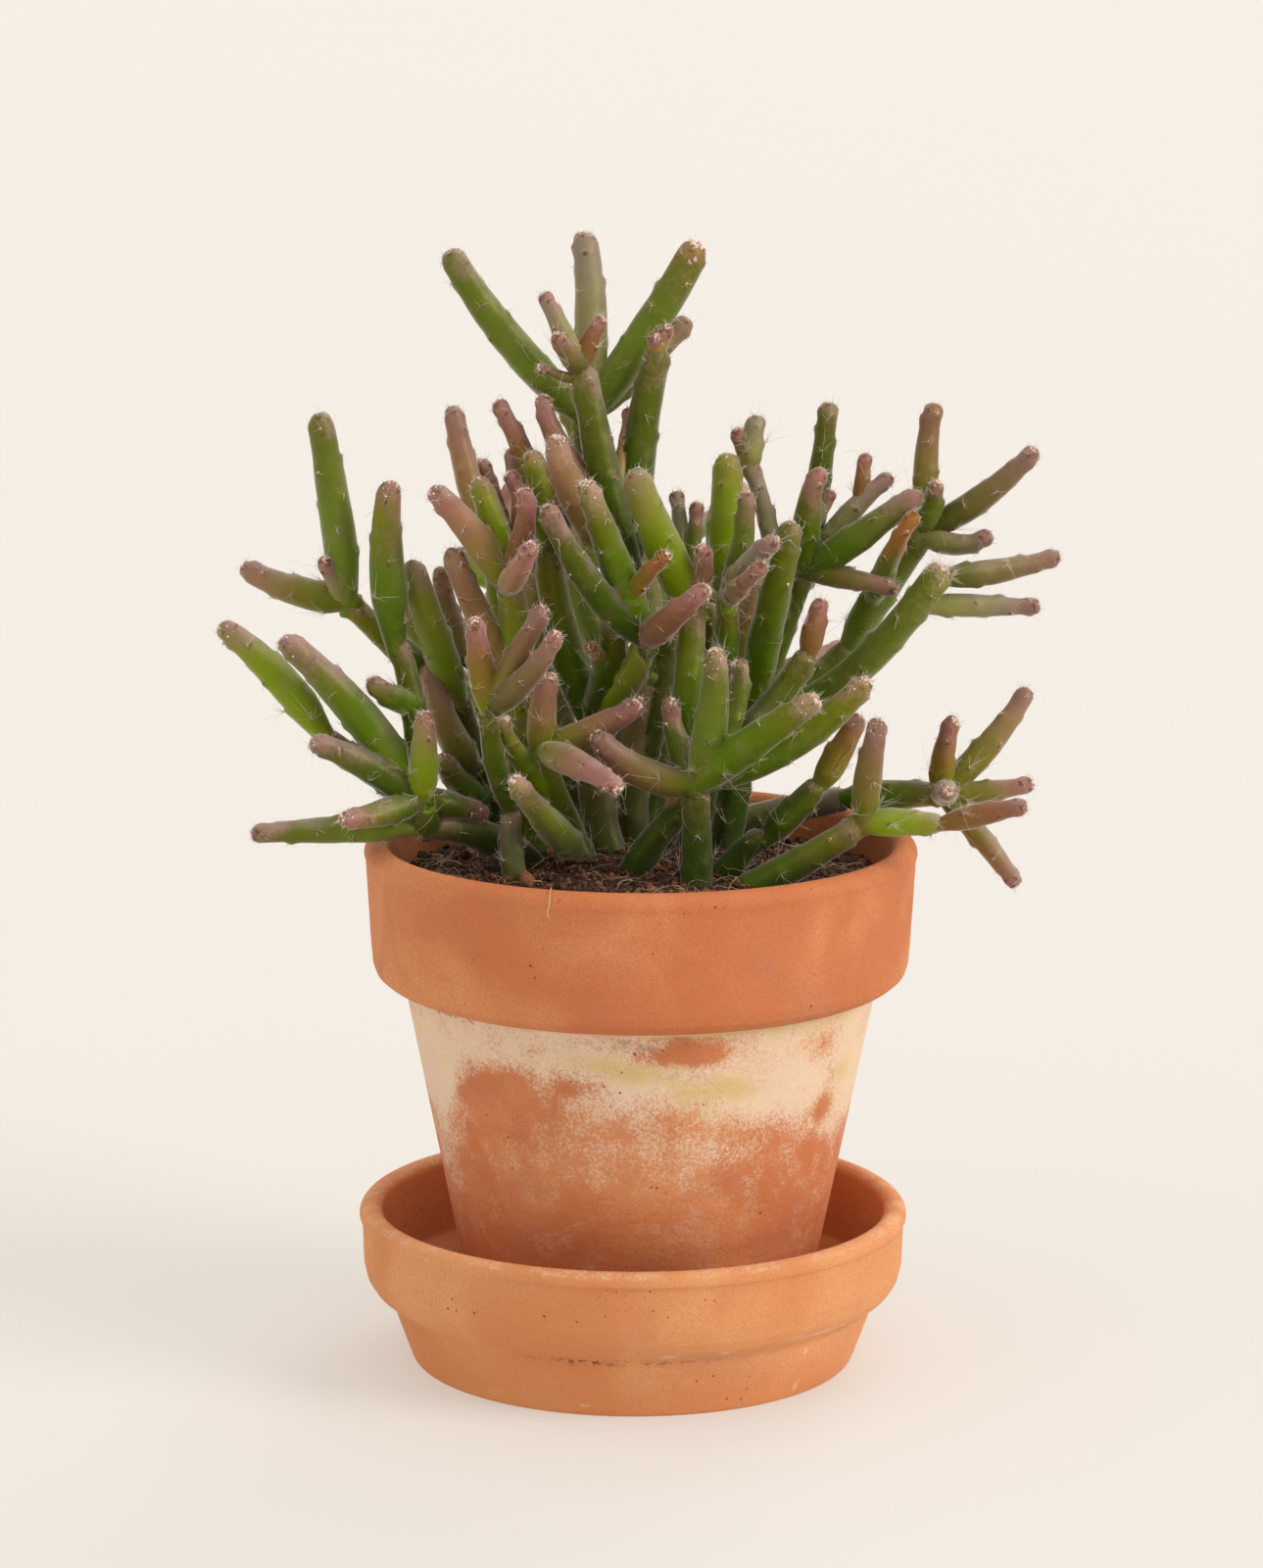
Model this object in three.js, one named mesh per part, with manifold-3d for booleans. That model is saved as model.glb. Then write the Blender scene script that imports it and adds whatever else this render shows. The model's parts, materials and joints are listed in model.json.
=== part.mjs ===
// A potted Rhipsalis burchellii: a clay pot on its clay saucer, the soil in it, and the
// rooted stems, each of which grew as one piece with all its branches.
// Millimetres, +Z up, the origin on the ground under the middle of the pot, the front to -Y.
import * as THREE from "three";
import { mergeVertices } from "three/addons/utils/BufferGeometryUtils.js";
import Module from "manifold-3d";

const wasm = await Module();
wasm.setup();

// Driving sizes of the pot, the saucer and the soil
const RIM_DIAMETER = 130;
const POT_HEIGHT = 119;
const BAND_HEIGHT = 33;
const POT_BASE_RADIUS = 38.8;
const POT_BODY_TOP_RADIUS = 55.4;
const HOLLOW_FOOT_RADIUS = 34.8;
const HOLLOW_FOOT_HEIGHT = 8.4;
const WALL = 5.2;
const FLOOR = 6;
const DRAIN_RADIUS = 7;
const SAUCER_DIAMETER = 130;
const SAUCER_HEIGHT = 37.5;
const SAUCER_BASE_RADIUS = 52;
const SAUCER_STEP_RADIUS = 57.3;
const SAUCER_STEP_HEIGHT = 14.4;
const SAUCER_LIP_WIDTH = 5.6;
const SOIL_LEVEL = 117;
const SOIL_MOUND = 1.6;

// How far to the right of the pot's middle the saucer's middle is
const SAUCER_SHIFT = -1.6;

// Gap that touching pieces keep, and how deep the stems are planted
const GAP = 0.3;
const POCKET_GAP = 0.45;
const PLANTING_DEPTH = 12;
const NEAR_GROUND = 12;

// How far inside its parent a grown segment starts, as a share of its thickness
const INSET = 0.42;

// Fineness of the turned pieces and of the stems
const TURNED_SIDES = 40;
const STEM_SIDES = 6;
const THIN_RADIUS = 3.2;
const AXIS_STEPS = 20;

// How thick a segment is along its length: share of its length, share of its thickness
const SEGMENT_OUTLINE = [
  [0, 0.6],
  [0.25, 1],
  [0.8, 0.94],
  [0.95, 0.62],
];
const ROOTED_OUTLINE = [
  [0, 0.8],
  [0.3, 1],
  [0.8, 0.96],
  [0.95, 0.66],
];

// A stem's segments, each with its axis given by points in whole millimetres that were
// chosen by eye: a point halfway along and the tip, then the thickness. A rooted segment
// starts at its place (x, y) in the soil. A grown one starts on an earlier segment of the
// same stem, given by its number and by how far along that segment it springs.
const rooted = (place, half, tip, thick) => ({ place, half, tip, thick });
const grown = (from, share, half, tip, thick) => ({ from, share, half, tip, thick });

const STEMS = {
  stem_front_left: [
    rooted([-29, -14], [-30, -14, 125], [-30, -13, 134], 6),
    grown(0, 1, [-34, -16, 147], [-35, -20, 159], 5.5),
    grown(1, 1, [-37, -26, 173], [-38, -30, 182], 6.5),
    grown(1, 1, [-29, -27, 172], [-22, -31, 185], 6),
    grown(1, 1, [-26, -31, 169], [-19, -37, 180], 6),
  ],
  stem_front_centre: [
    rooted([-13, 8], [-19, 2, 132], [-23, -6, 147], 7),
    grown(0, 0.1, [-22, -18, 133], [-29, -31, 145], 7.5),
    grown(0, 1, [-23, -8, 156], [-21, -12, 166], 7),
    grown(0, 1, [-14, -29, 148], [-5, -46, 146], 7),
    grown(0, 0.55, [-29, -8, 147], [-32, -13, 156], 5.5),
    grown(0, 1, [-9, -12, 154], [0, -18, 161], 7),
  ],
  stem_front_right: [
    rooted([13, -20], [13, -21, 130], [13, -22, 143], 7.5),
    grown(0, 1, [16, -26, 157], [17, -28, 175], 8),
    grown(0, 1, [2, -21, 144], [-11, -22, 154], 7.5),
    grown(0, 0.98, [26, -30, 154], [40, -36, 165], 8.5),
    grown(0, 1, [35, -20, 152], [52, -22, 167], 8.5),
    grown(0, 0.95, [28, -12, 156], [39, -8, 171], 7.5),
    grown(5, 1, [40, -7, 176], [42, -6, 183], 5.5),
    grown(0, 0.9, [8, -15, 152], [7, -15, 161], 6),
    grown(0, 0.98, [22, -17, 159], [22, -15, 170], 5),
  ],
  stem_middle: [
    rooted([-2, -6], [3, -8, 126], [11, -8, 135], 7.5),
    grown(0, 1, [11, -5, 159], [12, 0, 180], 8),
    grown(1, 1, [4, -8, 198], [-2, -12, 214], 9),
    grown(1, 1, [14, -6, 189], [14, -10, 196], 6),
    grown(1, 1, [10, 6, 193], [8, 9, 206], 4),
    grown(1, 1, [12, 4, 192], [13, 5, 204], 4.5),
  ],
  stem_tall: [
    rooted([-7, 16], [-11, 18, 133], [-12, 15, 150], 8.5),
    grown(0, 1, [-4, 4, 161], [1, -4, 173], 7.5),
    grown(1, 1, [-6, -12, 192], [-13, -18, 212], 8),
    grown(1, 1, [7, -20, 181], [15, -27, 189], 7),
    grown(2, 0.3, [1, -16, 190], [6, -22, 196], 4.5),
    grown(1, 1, [-11, -16, 187], [-22, -22, 207], 7),
    grown(1, 1, [-6, 0, 198], [-14, 4, 236], 8.5),
    grown(6, 0.97, [-18, 3, 243], [-23, 2, 253], 5),
    grown(6, 1, [-12, 4, 242], [-9, 4, 247], 5),
    grown(6, 0.98, [-17, 1, 239], [-20, -1, 244], 5),
    grown(6, 0.95, [-19, 2, 234], [-24, 0, 236], 2.5),
    grown(6, 0.42, [-15, -6, 206], [-20, -8, 221], 8.5),
    grown(6, 0.5, [-18, 3, 215], [-23, 5, 229], 6.5),
    grown(6, 0.42, [-11, 12, 208], [-13, 16, 222], 8),
    grown(13, 1, [-31, 12, 241], [-45, 10, 262], 8),
    grown(13, 1, [-12, 21, 244], [-14, 25, 265], 8),
    grown(13, 1, [2, 18, 244], [13, 18, 263], 8.5),
    grown(13, 1, [-1, 22, 233], [11, 28, 244], 6.5),
    grown(6, 0.3, [-1, 8, 213], [4, 8, 240], 8.5),
    grown(18, 0.97, [5, 8, 242], [6, 7, 245], 3.5),
    grown(18, 0.97, [3, 7, 241], [3, 5, 243], 3.5),
    grown(6, 0.55, [-5, 6, 213], [-3, 12, 225], 3),
    grown(6, 0.5, [-4, 8, 210], [-3, 15, 222], 3),
    grown(0, 1, [-19, 13, 173], [-22, 10, 193], 8.5),
    grown(23, 1, [-19, 4, 200], [-19, 2, 206], 6.5),
    grown(23, 1, [-27, 8, 213], [-34, 8, 227], 6),
    grown(23, 1, [-23, 4, 205], [-26, 3, 216], 7.5),
    grown(23, 0.98, [-29, 8, 206], [-30, 8, 216], 4),
    grown(0, 1, [-7, 2, 168], [-8, -4, 182], 8),
    grown(28, 0.35, [-10, -1, 168], [-12, -8, 172], 4.5),
  ],
  stem_left: [
    rooted([-25, 20], [-27, 18, 134], [-29, 8, 158], 8.5),
    grown(0, 1, [-29, 0, 173], [-31, -6, 186], 8.5),
    grown(1, 1, [-39, -12, 199], [-48, -18, 210], 7.5),
    grown(1, 0.98, [-34, -6, 199], [-38, -6, 211], 7.5),
    grown(1, 1, [-27, -14, 200], [-27, -16, 210], 6),
    grown(1, 1, [-29, -18, 190], [-25, -29, 199], 6),
    grown(1, 0.95, [-28, -4, 202], [-31, -4, 212], 5),
    grown(1, 0.9, [-39, 4, 205], [-44, 8, 226], 7),
    grown(1, 0.9, [-34, 6, 202], [-38, 10, 213], 5.5),
    grown(0, 0.97, [-40, -6, 184], [-44, -10, 195], 7),
    grown(0, 0.95, [-43, 19, 170], [-47, 21, 186], 6.5),
  ],
  stem_left_arm: [
    rooted([-33, 30], [-38, 28, 132], [-44, 20, 156], 8),
    grown(0, 1, [-56, 12, 167], [-69, 8, 180], 7),
    grown(1, 1, [-71, 4, 200], [-75, 2, 225], 8),
    grown(1, 1, [-72, 5, 186], [-74, 2, 191], 5),
    grown(1, 1, [-82, 12, 182], [-94, 16, 187], 7.5),
    grown(0, 0.97, [-49, 5, 174], [-54, 4, 190], 8),
    grown(0, 0.6, [-46, 14, 149], [-50, 12, 165], 7.5),
    grown(0, 0.35, [-43, 20, 134], [-47, 14, 142], 7),
  ],
  stem_over_rim: [
    rooted([-26, 5], [-38, -5, 127], [-53, -13, 130], 8),
    grown(0, 1, [-71, -15, 130], [-90, -20, 130], 6.5),
    grown(0, 0.9, [-50, -13, 133], [-51, -14, 137], 7),
    grown(2, 1, [-64, -10, 144], [-74, -8, 151], 7),
    grown(3, 1, [-85, -6, 165], [-98, -4, 176], 8),
    grown(2, 1, [-66, -14, 158], [-83, -16, 175], 9),
    grown(2, 1, [-64, -18, 146], [-76, -22, 152], 7.5),
    grown(2, 1, [-50, -19, 149], [-50, -22, 159], 7),
    grown(2, 1, [-61, -22, 135], [-69, -28, 135], 6.5),
    grown(2, 1, [-44, -11, 135], [-36, -7, 132], 6.5),
    grown(2, 1, [-53, -8, 158], [-57, -6, 173], 6.5),
    grown(10, 1, [-59, -5, 192], [-58, -4, 210], 8.5),
    grown(10, 0.5, [-58, -12, 161], [-63, -14, 165], 6),
  ],
  stem_right_arm: [
    rooted([20, 22], [23, 22, 136], [26, 20, 151], 8),
    grown(0, 1, [30, 8, 176], [35, 0, 200], 8),
    grown(0, 1, [31, 22, 163], [39, 22, 185], 5.5),
    grown(2, 1, [42, 24, 207], [44, 25, 225], 6),
    grown(2, 1, [39, 14, 200], [42, 12, 211], 7),
    grown(4, 0.3, [42, 17, 200], [45, 17, 205], 3.5),
    grown(2, 1, [52, 10, 196], [65, 8, 206], 7.5),
    grown(2, 1, [49, 20, 199], [59, 21, 208], 5.5),
    grown(7, 0.62, [52, 21, 207], [53, 23, 213], 4),
    grown(2, 1, [49, 12, 185], [60, 8, 183], 5.5),
    grown(2, 0.7, [30, 16, 196], [25, 14, 212], 5),
    grown(10, 0.97, [26, 15, 217], [27, 16, 223], 5.5),
    grown(10, 0.95, [24, 15, 215], [22, 15, 220], 4.5),
    grown(0, 1, [37, 24, 155], [50, 26, 167], 7.5),
    grown(13, 1, [56, 22, 179], [67, 17, 196], 8),
    grown(14, 0.4, [59, 6, 193], [64, 2, 202], 5.5),
    grown(14, 1, [67, 20, 212], [69, 23, 225], 6),
    grown(14, 1, [80, 14, 204], [92, 10, 216], 6.5),
    grown(14, 1, [68, 14, 202], [69, 10, 208], 5.5),
    grown(14, 0.97, [74, 13, 193], [82, 10, 196], 5.5),
    grown(0, 1, [46, 8, 160], [70, -2, 190], 8),
    grown(20, 0.97, [84, 6, 188], [98, 10, 191], 6),
    grown(20, 0.88, [80, 3, 180], [93, 2, 180], 5.5),
  ],
  stem_upright_right: [
    rooted([11, 14], [16, 12, 140], [19, 9, 164], 7),
    grown(0, 1, [20, 8, 172], [20, 6, 181], 6.5),
    grown(1, 1, [20, 8, 197], [20, 8, 215], 8.5),
    grown(1, 1, [23, -4, 194], [24, -6, 208], 6),
    grown(1, 1, [25, -12, 192], [31, -20, 199], 6.5),
    grown(1, 1, [24, -18, 189], [28, -25, 194], 5),
  ],
  stem_low_right: [
    rooted([25, -18], [38, -23, 125], [51, -29, 135], 7.5),
    grown(0, 1, [60, -30, 135], [69, -31, 135], 6.5),
    grown(1, 1, [79, -33, 138], [88, -35, 140], 5.5),
    grown(0, 1, [52, -32, 147], [54, -34, 160], 6.5),
  ],
  stem_right_leaning: [
    rooted([19, -8], [24, -9, 124], [30, -10, 128], 7),
    grown(0, 1, [36, -9, 134], [42, -8, 140], 7),
    grown(1, 1, [46, -8, 147], [51, -8, 156], 6.5),
  ],
  stem_back_right_low: [
    rooted([11, 38], [30, 36, 123], [50, 24, 130], 7.5),
    grown(0, 1, [61, 18, 132], [71, 14, 133], 7.5),
    grown(1, 1, [72, 6, 135], [72, -2, 137], 6),
    grown(1, 1, [72, 12, 145], [74, 10, 152], 6),
    grown(1, 1, [84, 18, 146], [92, 22, 157], 6.5),
    grown(1, 1, [84, 14, 134], [93, 14, 136], 5.5),
    grown(1, 1, [80, 10, 124], [89, 4, 113], 5.5),
  ],
  stem_back_left: [
    rooted([-14, 40], [-18, 46, 136], [-20, 52, 154], 7.4),
    grown(0, 1, [-27, 62, 166], [-30, 76, 174], 7),
    grown(0, 1, [-20, 58, 174], [-14, 64, 190], 7.2),
    grown(0, 1, [-32, 50, 168], [-35, 46, 186], 7),
    grown(1, 1, [-34, 86, 184], [-32, 92, 196], 6.2),
    grown(1, 1, [-38, 82, 174], [-46, 88, 180], 6),
    grown(2, 1, [-14, 72, 206], [-20, 76, 218], 6.4),
    grown(2, 1, [-6, 70, 202], [2, 76, 210], 6),
    grown(0, 1, [-12, 62, 160], [-8, 74, 164], 6.4),
    grown(2, 0.97, [-23, 72, 198], [-28, 80, 206], 6),
    grown(0, 1, [-25, 49, 172], [-26, 48, 190], 6.6),
  ],
  stem_back_centre: [
    rooted([1, 47], [5, 52, 136], [8, 56, 152], 7.6),
    grown(0, 1, [5, 66, 170], [4, 80, 182], 7.2),
    grown(0, 1, [15, 61, 166], [18, 64, 186], 7.2),
    grown(0, 1, [8, 76, 156], [4, 92, 166], 6.8),
    grown(2, 1, [20, 62, 196], [20, 62, 202], 6.4),
    grown(2, 1, [23, 72, 194], [24, 80, 197], 6.2),
    grown(1, 1, [-4, 90, 192], [-8, 94, 204], 6),
    grown(1, 1, [12, 88, 184], [18, 95, 188], 6),
    grown(3, 1, [-2, 102, 160], [-6, 108, 151], 6),
    grown(3, 1, [11, 100, 169], [15, 106, 178], 6),
  ],
  stem_back_right: [
    rooted([22, 46], [21, 49, 132], [23, 51, 149], 7.4),
    grown(0, 1, [32, 62, 160], [35, 76, 169], 7),
    grown(0, 1, [25, 50, 165], [29, 51, 180], 7),
    grown(0, 1, [38, 56, 156], [50, 63, 160], 6.4),
    grown(1, 1, [42, 88, 176], [44, 94, 188], 6.2),
    grown(1, 1, [28, 86, 178], [22, 90, 180], 6),
    grown(2, 1, [33, 56, 186], [34, 60, 189], 6),
    grown(0, 1, [18, 50, 160], [17, 49, 173], 6.4),
  ],
  stem_back_low: [
    rooted([-28, 38], [-29, 44, 131], [-33, 56, 140], 7.2),
    grown(0, 1, [-39, 72, 146], [-44, 88, 144], 7),
    grown(0, 1, [-43, 62, 150], [-53, 67, 160], 6.4),
    grown(1, 1, [-50, 98, 138], [-54, 108, 130], 6),
    grown(1, 1, [-38, 98, 148], [-34, 106, 158], 6),
    grown(0, 0.9, [-26, 66, 146], [-20, 78, 150], 6.2),
    grown(2, 1, [-58, 70, 168], [-60, 72, 177], 6),
  ],
  stem_back_tall: [
    rooted([-2, 28], [-2, 33, 140], [1, 37, 158], 8.5),
    grown(0, 1, [-12, 40, 170], [-12, 44, 189], 8),
    grown(0, 1, [2, 44, 170], [1, 50, 182], 7.2),
    grown(1, 1, [-16, 45, 200], [-18, 43, 208], 6.2),
    grown(1, 1, [-9, 53, 198], [-6, 60, 206], 6),
    grown(2, 1, [0, 56, 188], [-3, 60, 195], 6.2),
    grown(0, 0.3, [4, 37, 150], [6, 41, 170], 7.6),
    grown(0, 0.15, [-8, 36, 146], [-9, 40, 160], 7),
  ],
};

// Finishes: colour, roughness, metalness
const finish = (name, colour, roughness) =>
  new THREE.MeshStandardMaterial({ name, color: colour, roughness, metalness: 0 });
const CLAY = finish("terracotta", 0xc87a4c, 0.85);
const SAUCER_CLAY = finish("saucer_terracotta", 0xd68c58, 0.8);
const PEAT = finish("peat_and_coir", 0x33231a, 0.95);
const STEM_GREEN = finish("stem_green", 0x58721c, 0.5);

// Points of a round stretch of an outline, angles in degrees from outward
function roundStretch(centreR, centreZ, radius, from, to, steps) {
  const points = [];
  for (let i = 0; i <= steps; i += 1) {
    const angle = THREE.MathUtils.degToRad(from + ((to - from) * i) / steps);
    points.push([centreR + radius * Math.cos(angle), centreZ + radius * Math.sin(angle)]);
  }
  return points;
}

// A piece turned round the Z axis from its outline of (radius, height) points
function turned(outline) {
  const points = outline.map(([radius, height]) => new THREE.Vector2(Math.max(radius, 0), height));
  return new THREE.LatheGeometry(points, TURNED_SIDES).rotateX(Math.PI / 2);
}

// A closed geometry as a solid that can be cut and joined
function solidOf(geometry) {
  const bare = geometry.clone();
  bare.deleteAttribute("normal");
  bare.deleteAttribute("uv");
  const merged = mergeVertices(bare, 1e-3);
  const index = merged.index.array;
  const kept = [];
  for (let i = 0; i < index.length; i += 3) {
    const [a, b, c] = [index[i], index[i + 1], index[i + 2]];
    if (a !== b && b !== c && c !== a) {
      kept.push(a, b, c);
    }
  }
  const vertProperties = new Float32Array(merged.attributes.position.array);
  return new wasm.Manifold(new wasm.Mesh({ numProp: 3, vertProperties, triVerts: new Uint32Array(kept) }));
}

// A solid back as a geometry, seen from its own reference point
function geometryOf(solid, origin) {
  const mesh = solid.getMesh();
  const geometry = new THREE.BufferGeometry();
  geometry.setAttribute("position", new THREE.BufferAttribute(mesh.vertProperties, 3));
  geometry.setIndex(new THREE.BufferAttribute(mesh.triVerts, 1));
  geometry.translate(-origin.x, -origin.y, -origin.z);
  geometry.computeVertexNormals();
  return geometry;
}

// The pot: tapered body, taller band round the rim, rounded lip, drain hole in its floor
function potOutline() {
  const rim = RIM_DIAMETER / 2;
  const bandFoot = POT_HEIGHT - BAND_HEIGHT;
  const lip = WALL * 0.6;
  return [
    [DRAIN_RADIUS, 0],
    [POT_BASE_RADIUS - 1, 0],
    [POT_BASE_RADIUS, 1],
    [POT_BODY_TOP_RADIUS, bandFoot - 2.6],
    [POT_BODY_TOP_RADIUS + 0.5, bandFoot - 1.6],
    [rim - 7.6, bandFoot - 1],
    [rim - 4.6, bandFoot + 0.3],
    [rim - 2.7, bandFoot + 1.9],
    [rim - 2, bandFoot + 4],
    [rim - 1.6, bandFoot + 8],
    ...roundStretch(rim - lip, POT_HEIGHT - lip, lip, -3, 160, 7),
    [POT_BODY_TOP_RADIUS - WALL + 1, bandFoot],
    [HOLLOW_FOOT_RADIUS, HOLLOW_FOOT_HEIGHT],
    [HOLLOW_FOOT_RADIUS - 2.4, FLOOR],
    [DRAIN_RADIUS, FLOOR],
    [DRAIN_RADIUS, 0],
  ];
}

// The saucer: flat underside, flared wall with a step, upright band and rounded lip
function saucerOutline() {
  const rim = SAUCER_DIAMETER / 2;
  const lip = SAUCER_LIP_WIDTH / 2;
  return [
    [0, 0],
    [SAUCER_BASE_RADIUS, 0],
    [SAUCER_BASE_RADIUS + 0.7, 0.9],
    [SAUCER_STEP_RADIUS - 0.8, SAUCER_STEP_HEIGHT - 3],
    [SAUCER_STEP_RADIUS, SAUCER_STEP_HEIGHT],
    [SAUCER_STEP_RADIUS + 1.7, SAUCER_STEP_HEIGHT + 1.3],
    [rim - 3.4, SAUCER_STEP_HEIGHT + 3.2],
    [rim - 1.8, SAUCER_STEP_HEIGHT + 5.6],
    [rim - 1, SAUCER_STEP_HEIGHT + 9.1],
    ...roundStretch(rim - lip, SAUCER_HEIGHT - lip, lip, 0, 180, 6),
    [rim - 6.8, SAUCER_STEP_HEIGHT + 4.4],
    [rim - 8.4, SAUCER_STEP_HEIGHT + 3.6],
    [rim - 11.6, SAUCER_STEP_HEIGHT + 1.6],
    [rim - 13.6, SAUCER_STEP_HEIGHT - 1.2],
    [rim - 17.5, FLOOR + 1.6],
    [rim - 20.5, FLOOR],
    [0, FLOOR],
  ];
}

// The soil: a plug that fills the pot, with a low mound on top
function soilOutline(potFoot) {
  const rim = RIM_DIAMETER / 2;
  const bandFoot = POT_HEIGHT - BAND_HEIGHT;
  const wallFoot = [HOLLOW_FOOT_RADIUS, potFoot + HOLLOW_FOOT_HEIGHT];
  const wallBand = [POT_BODY_TOP_RADIUS - WALL + 1, potFoot + bandFoot];
  const lip = WALL * 0.6;
  const mouth = [rim - lip - lip * Math.cos(Math.PI / 9), potFoot + POT_HEIGHT - lip * 0.66];
  const share = (SOIL_LEVEL - 1 - wallBand[1]) / (mouth[1] - wallBand[1]);
  const edge = wallBand[0] + share * (mouth[0] - wallBand[0]);
  return [
    [0, potFoot + FLOOR + GAP],
    [wallFoot[0] - 2.6, potFoot + FLOOR + GAP],
    [wallFoot[0] - GAP, wallFoot[1] + GAP],
    [wallBand[0] - GAP, wallBand[1]],
    [edge - GAP, SOIL_LEVEL - 1],
    [edge * 0.75, SOIL_LEVEL],
    [edge * 0.35, SOIL_LEVEL + SOIL_MOUND * 0.8],
    [0, SOIL_LEVEL + SOIL_MOUND],
  ];
}

// The axis of a segment: a bow from its start through its halfway point to its tip
function axisOf(start, half, tip) {
  const control = half.clone().multiplyScalar(2).addScaledVector(start, -0.5).addScaledVector(tip, -0.5);
  return new THREE.QuadraticBezierCurve3(start, control, tip);
}

// A round bar of changing thickness bent along an axis, blunt at both ends
function bentBar(axis, outline, radius) {
  const profile = [new THREE.Vector2(0, outline[0][0] * AXIS_STEPS)];
  for (const [share, thickness] of outline) {
    profile.push(new THREE.Vector2(radius * thickness, share * AXIS_STEPS));
  }
  profile.push(new THREE.Vector2(0, AXIS_STEPS));
  const bar = new THREE.LatheGeometry(profile, radius < THIN_RADIUS ? STEM_SIDES - 1 : STEM_SIDES);
  const frames = axis.computeFrenetFrames(AXIS_STEPS, false);
  const positions = bar.attributes.position;
  for (let i = 0; i < positions.count; i += 1) {
    const step = Math.round(positions.getY(i));
    const point = axis.getPointAt(step / AXIS_STEPS);
    point.addScaledVector(frames.binormals[step], positions.getX(i));
    point.addScaledVector(frames.normals[step], positions.getZ(i));
    positions.setXYZ(i, point.x, point.y, point.z);
  }
  return solidOf(bar);
}

// The axes of a stem's segments, each grown one starting a little inside its parent
function stemAxes(segments) {
  const axes = [];
  for (const segment of segments) {
    const half = new THREE.Vector3(...segment.half);
    const tip = new THREE.Vector3(...segment.tip);
    let start;
    if (segment.place) {
      start = new THREE.Vector3(...segment.place, SOIL_LEVEL);
    } else {
      start = axes[segment.from].getPoint(segment.share);
      const inward = start.clone().sub(half).setLength(segment.thick * INSET);
      start.add(inward);
    }
    axes.push(axisOf(start, half, tip));
  }
  return axes;
}

// The part of a rooted segment that is in the soil, straight down from where it enters
function plantedEnd(place, radius, depth) {
  const top = new THREE.Vector3(...place, SOIL_LEVEL + radius);
  const bottom = new THREE.Vector3(...place, SOIL_LEVEL - depth);
  const half = top.clone().add(bottom).multiplyScalar(0.5);
  return bentBar(axisOf(bottom, half, top), ROOTED_OUTLINE, radius);
}

// One stem with all that grew on it, as one solid
function stemSolid(segments, axes) {
  const bars = segments.map((segment, i) => {
    const outline = segment.place ? ROOTED_OUTLINE : SEGMENT_OUTLINE;
    return bentBar(axes[i], outline, segment.thick / 2);
  });
  const first = segments[0];
  bars.push(plantedEnd(first.place, first.thick / 2, PLANTING_DEPTH));
  return wasm.Manifold.union(bars);
}

// The room in the soil for a stem's planted foot and for all that starts near the ground
function pocketSolid(segments, axes) {
  const first = segments[0];
  const parts = [plantedEnd(first.place, first.thick / 2 + POCKET_GAP, PLANTING_DEPTH + POCKET_GAP)];
  segments.forEach((segment, i) => {
    if (axes[i].getPoint(0).z < SOIL_LEVEL + NEAR_GROUND) {
      const outline = segment.place ? ROOTED_OUTLINE : SEGMENT_OUTLINE;
      parts.push(bentBar(axes[i], outline, segment.thick / 2 + POCKET_GAP));
    }
  });
  return wasm.Manifold.union(parts);
}

const group = new THREE.Group();

function addPiece(name, solid, material, origin) {
  const piece = new THREE.Mesh(geometryOf(solid, origin), material);
  piece.name = name;
  piece.position.copy(origin);
  group.add(piece);
}

const potFoot = FLOOR + GAP;
const saucerPlace = new THREE.Vector3(SAUCER_SHIFT, 0, 0);
const potPlace = new THREE.Vector3(0, 0, potFoot);
const soilPlace = new THREE.Vector3(0, 0, SOIL_LEVEL);

const saucer = solidOf(turned(saucerOutline())).translate(saucerPlace.toArray());
addPiece("saucer", saucer, SAUCER_CLAY, saucerPlace);
const pot = solidOf(turned(potOutline())).translate([0, 0, potFoot]);
addPiece("pot", pot, CLAY, potPlace);

let soil = solidOf(turned(soilOutline(potFoot)));
for (const [name, segments] of Object.entries(STEMS)) {
  const axes = stemAxes(segments);
  soil = soil.subtract(pocketSolid(segments, axes));
  const root = new THREE.Vector3(...segments[0].place, SOIL_LEVEL);
  addPiece(name, stemSolid(segments, axes), STEM_GREEN, root);
}
addPiece("soil", soil, PEAT, soilPlace);

export default group;
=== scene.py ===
"""Looks of a potted Rhipsalis burchellii on its clay saucer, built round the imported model.

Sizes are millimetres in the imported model's own frame: +Z up, the front to -Y. A mesh is
turned into metres as it is made. Colours are given as they look in daylight, 0 to 255.
"""

import json
import logging
import math
from collections.abc import Sequence
from dataclasses import dataclass, field
from enum import Enum

import bmesh
import bpy
import numpy as np
from mathutils import Matrix, Vector
from mathutils.kdtree import KDTree

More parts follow.
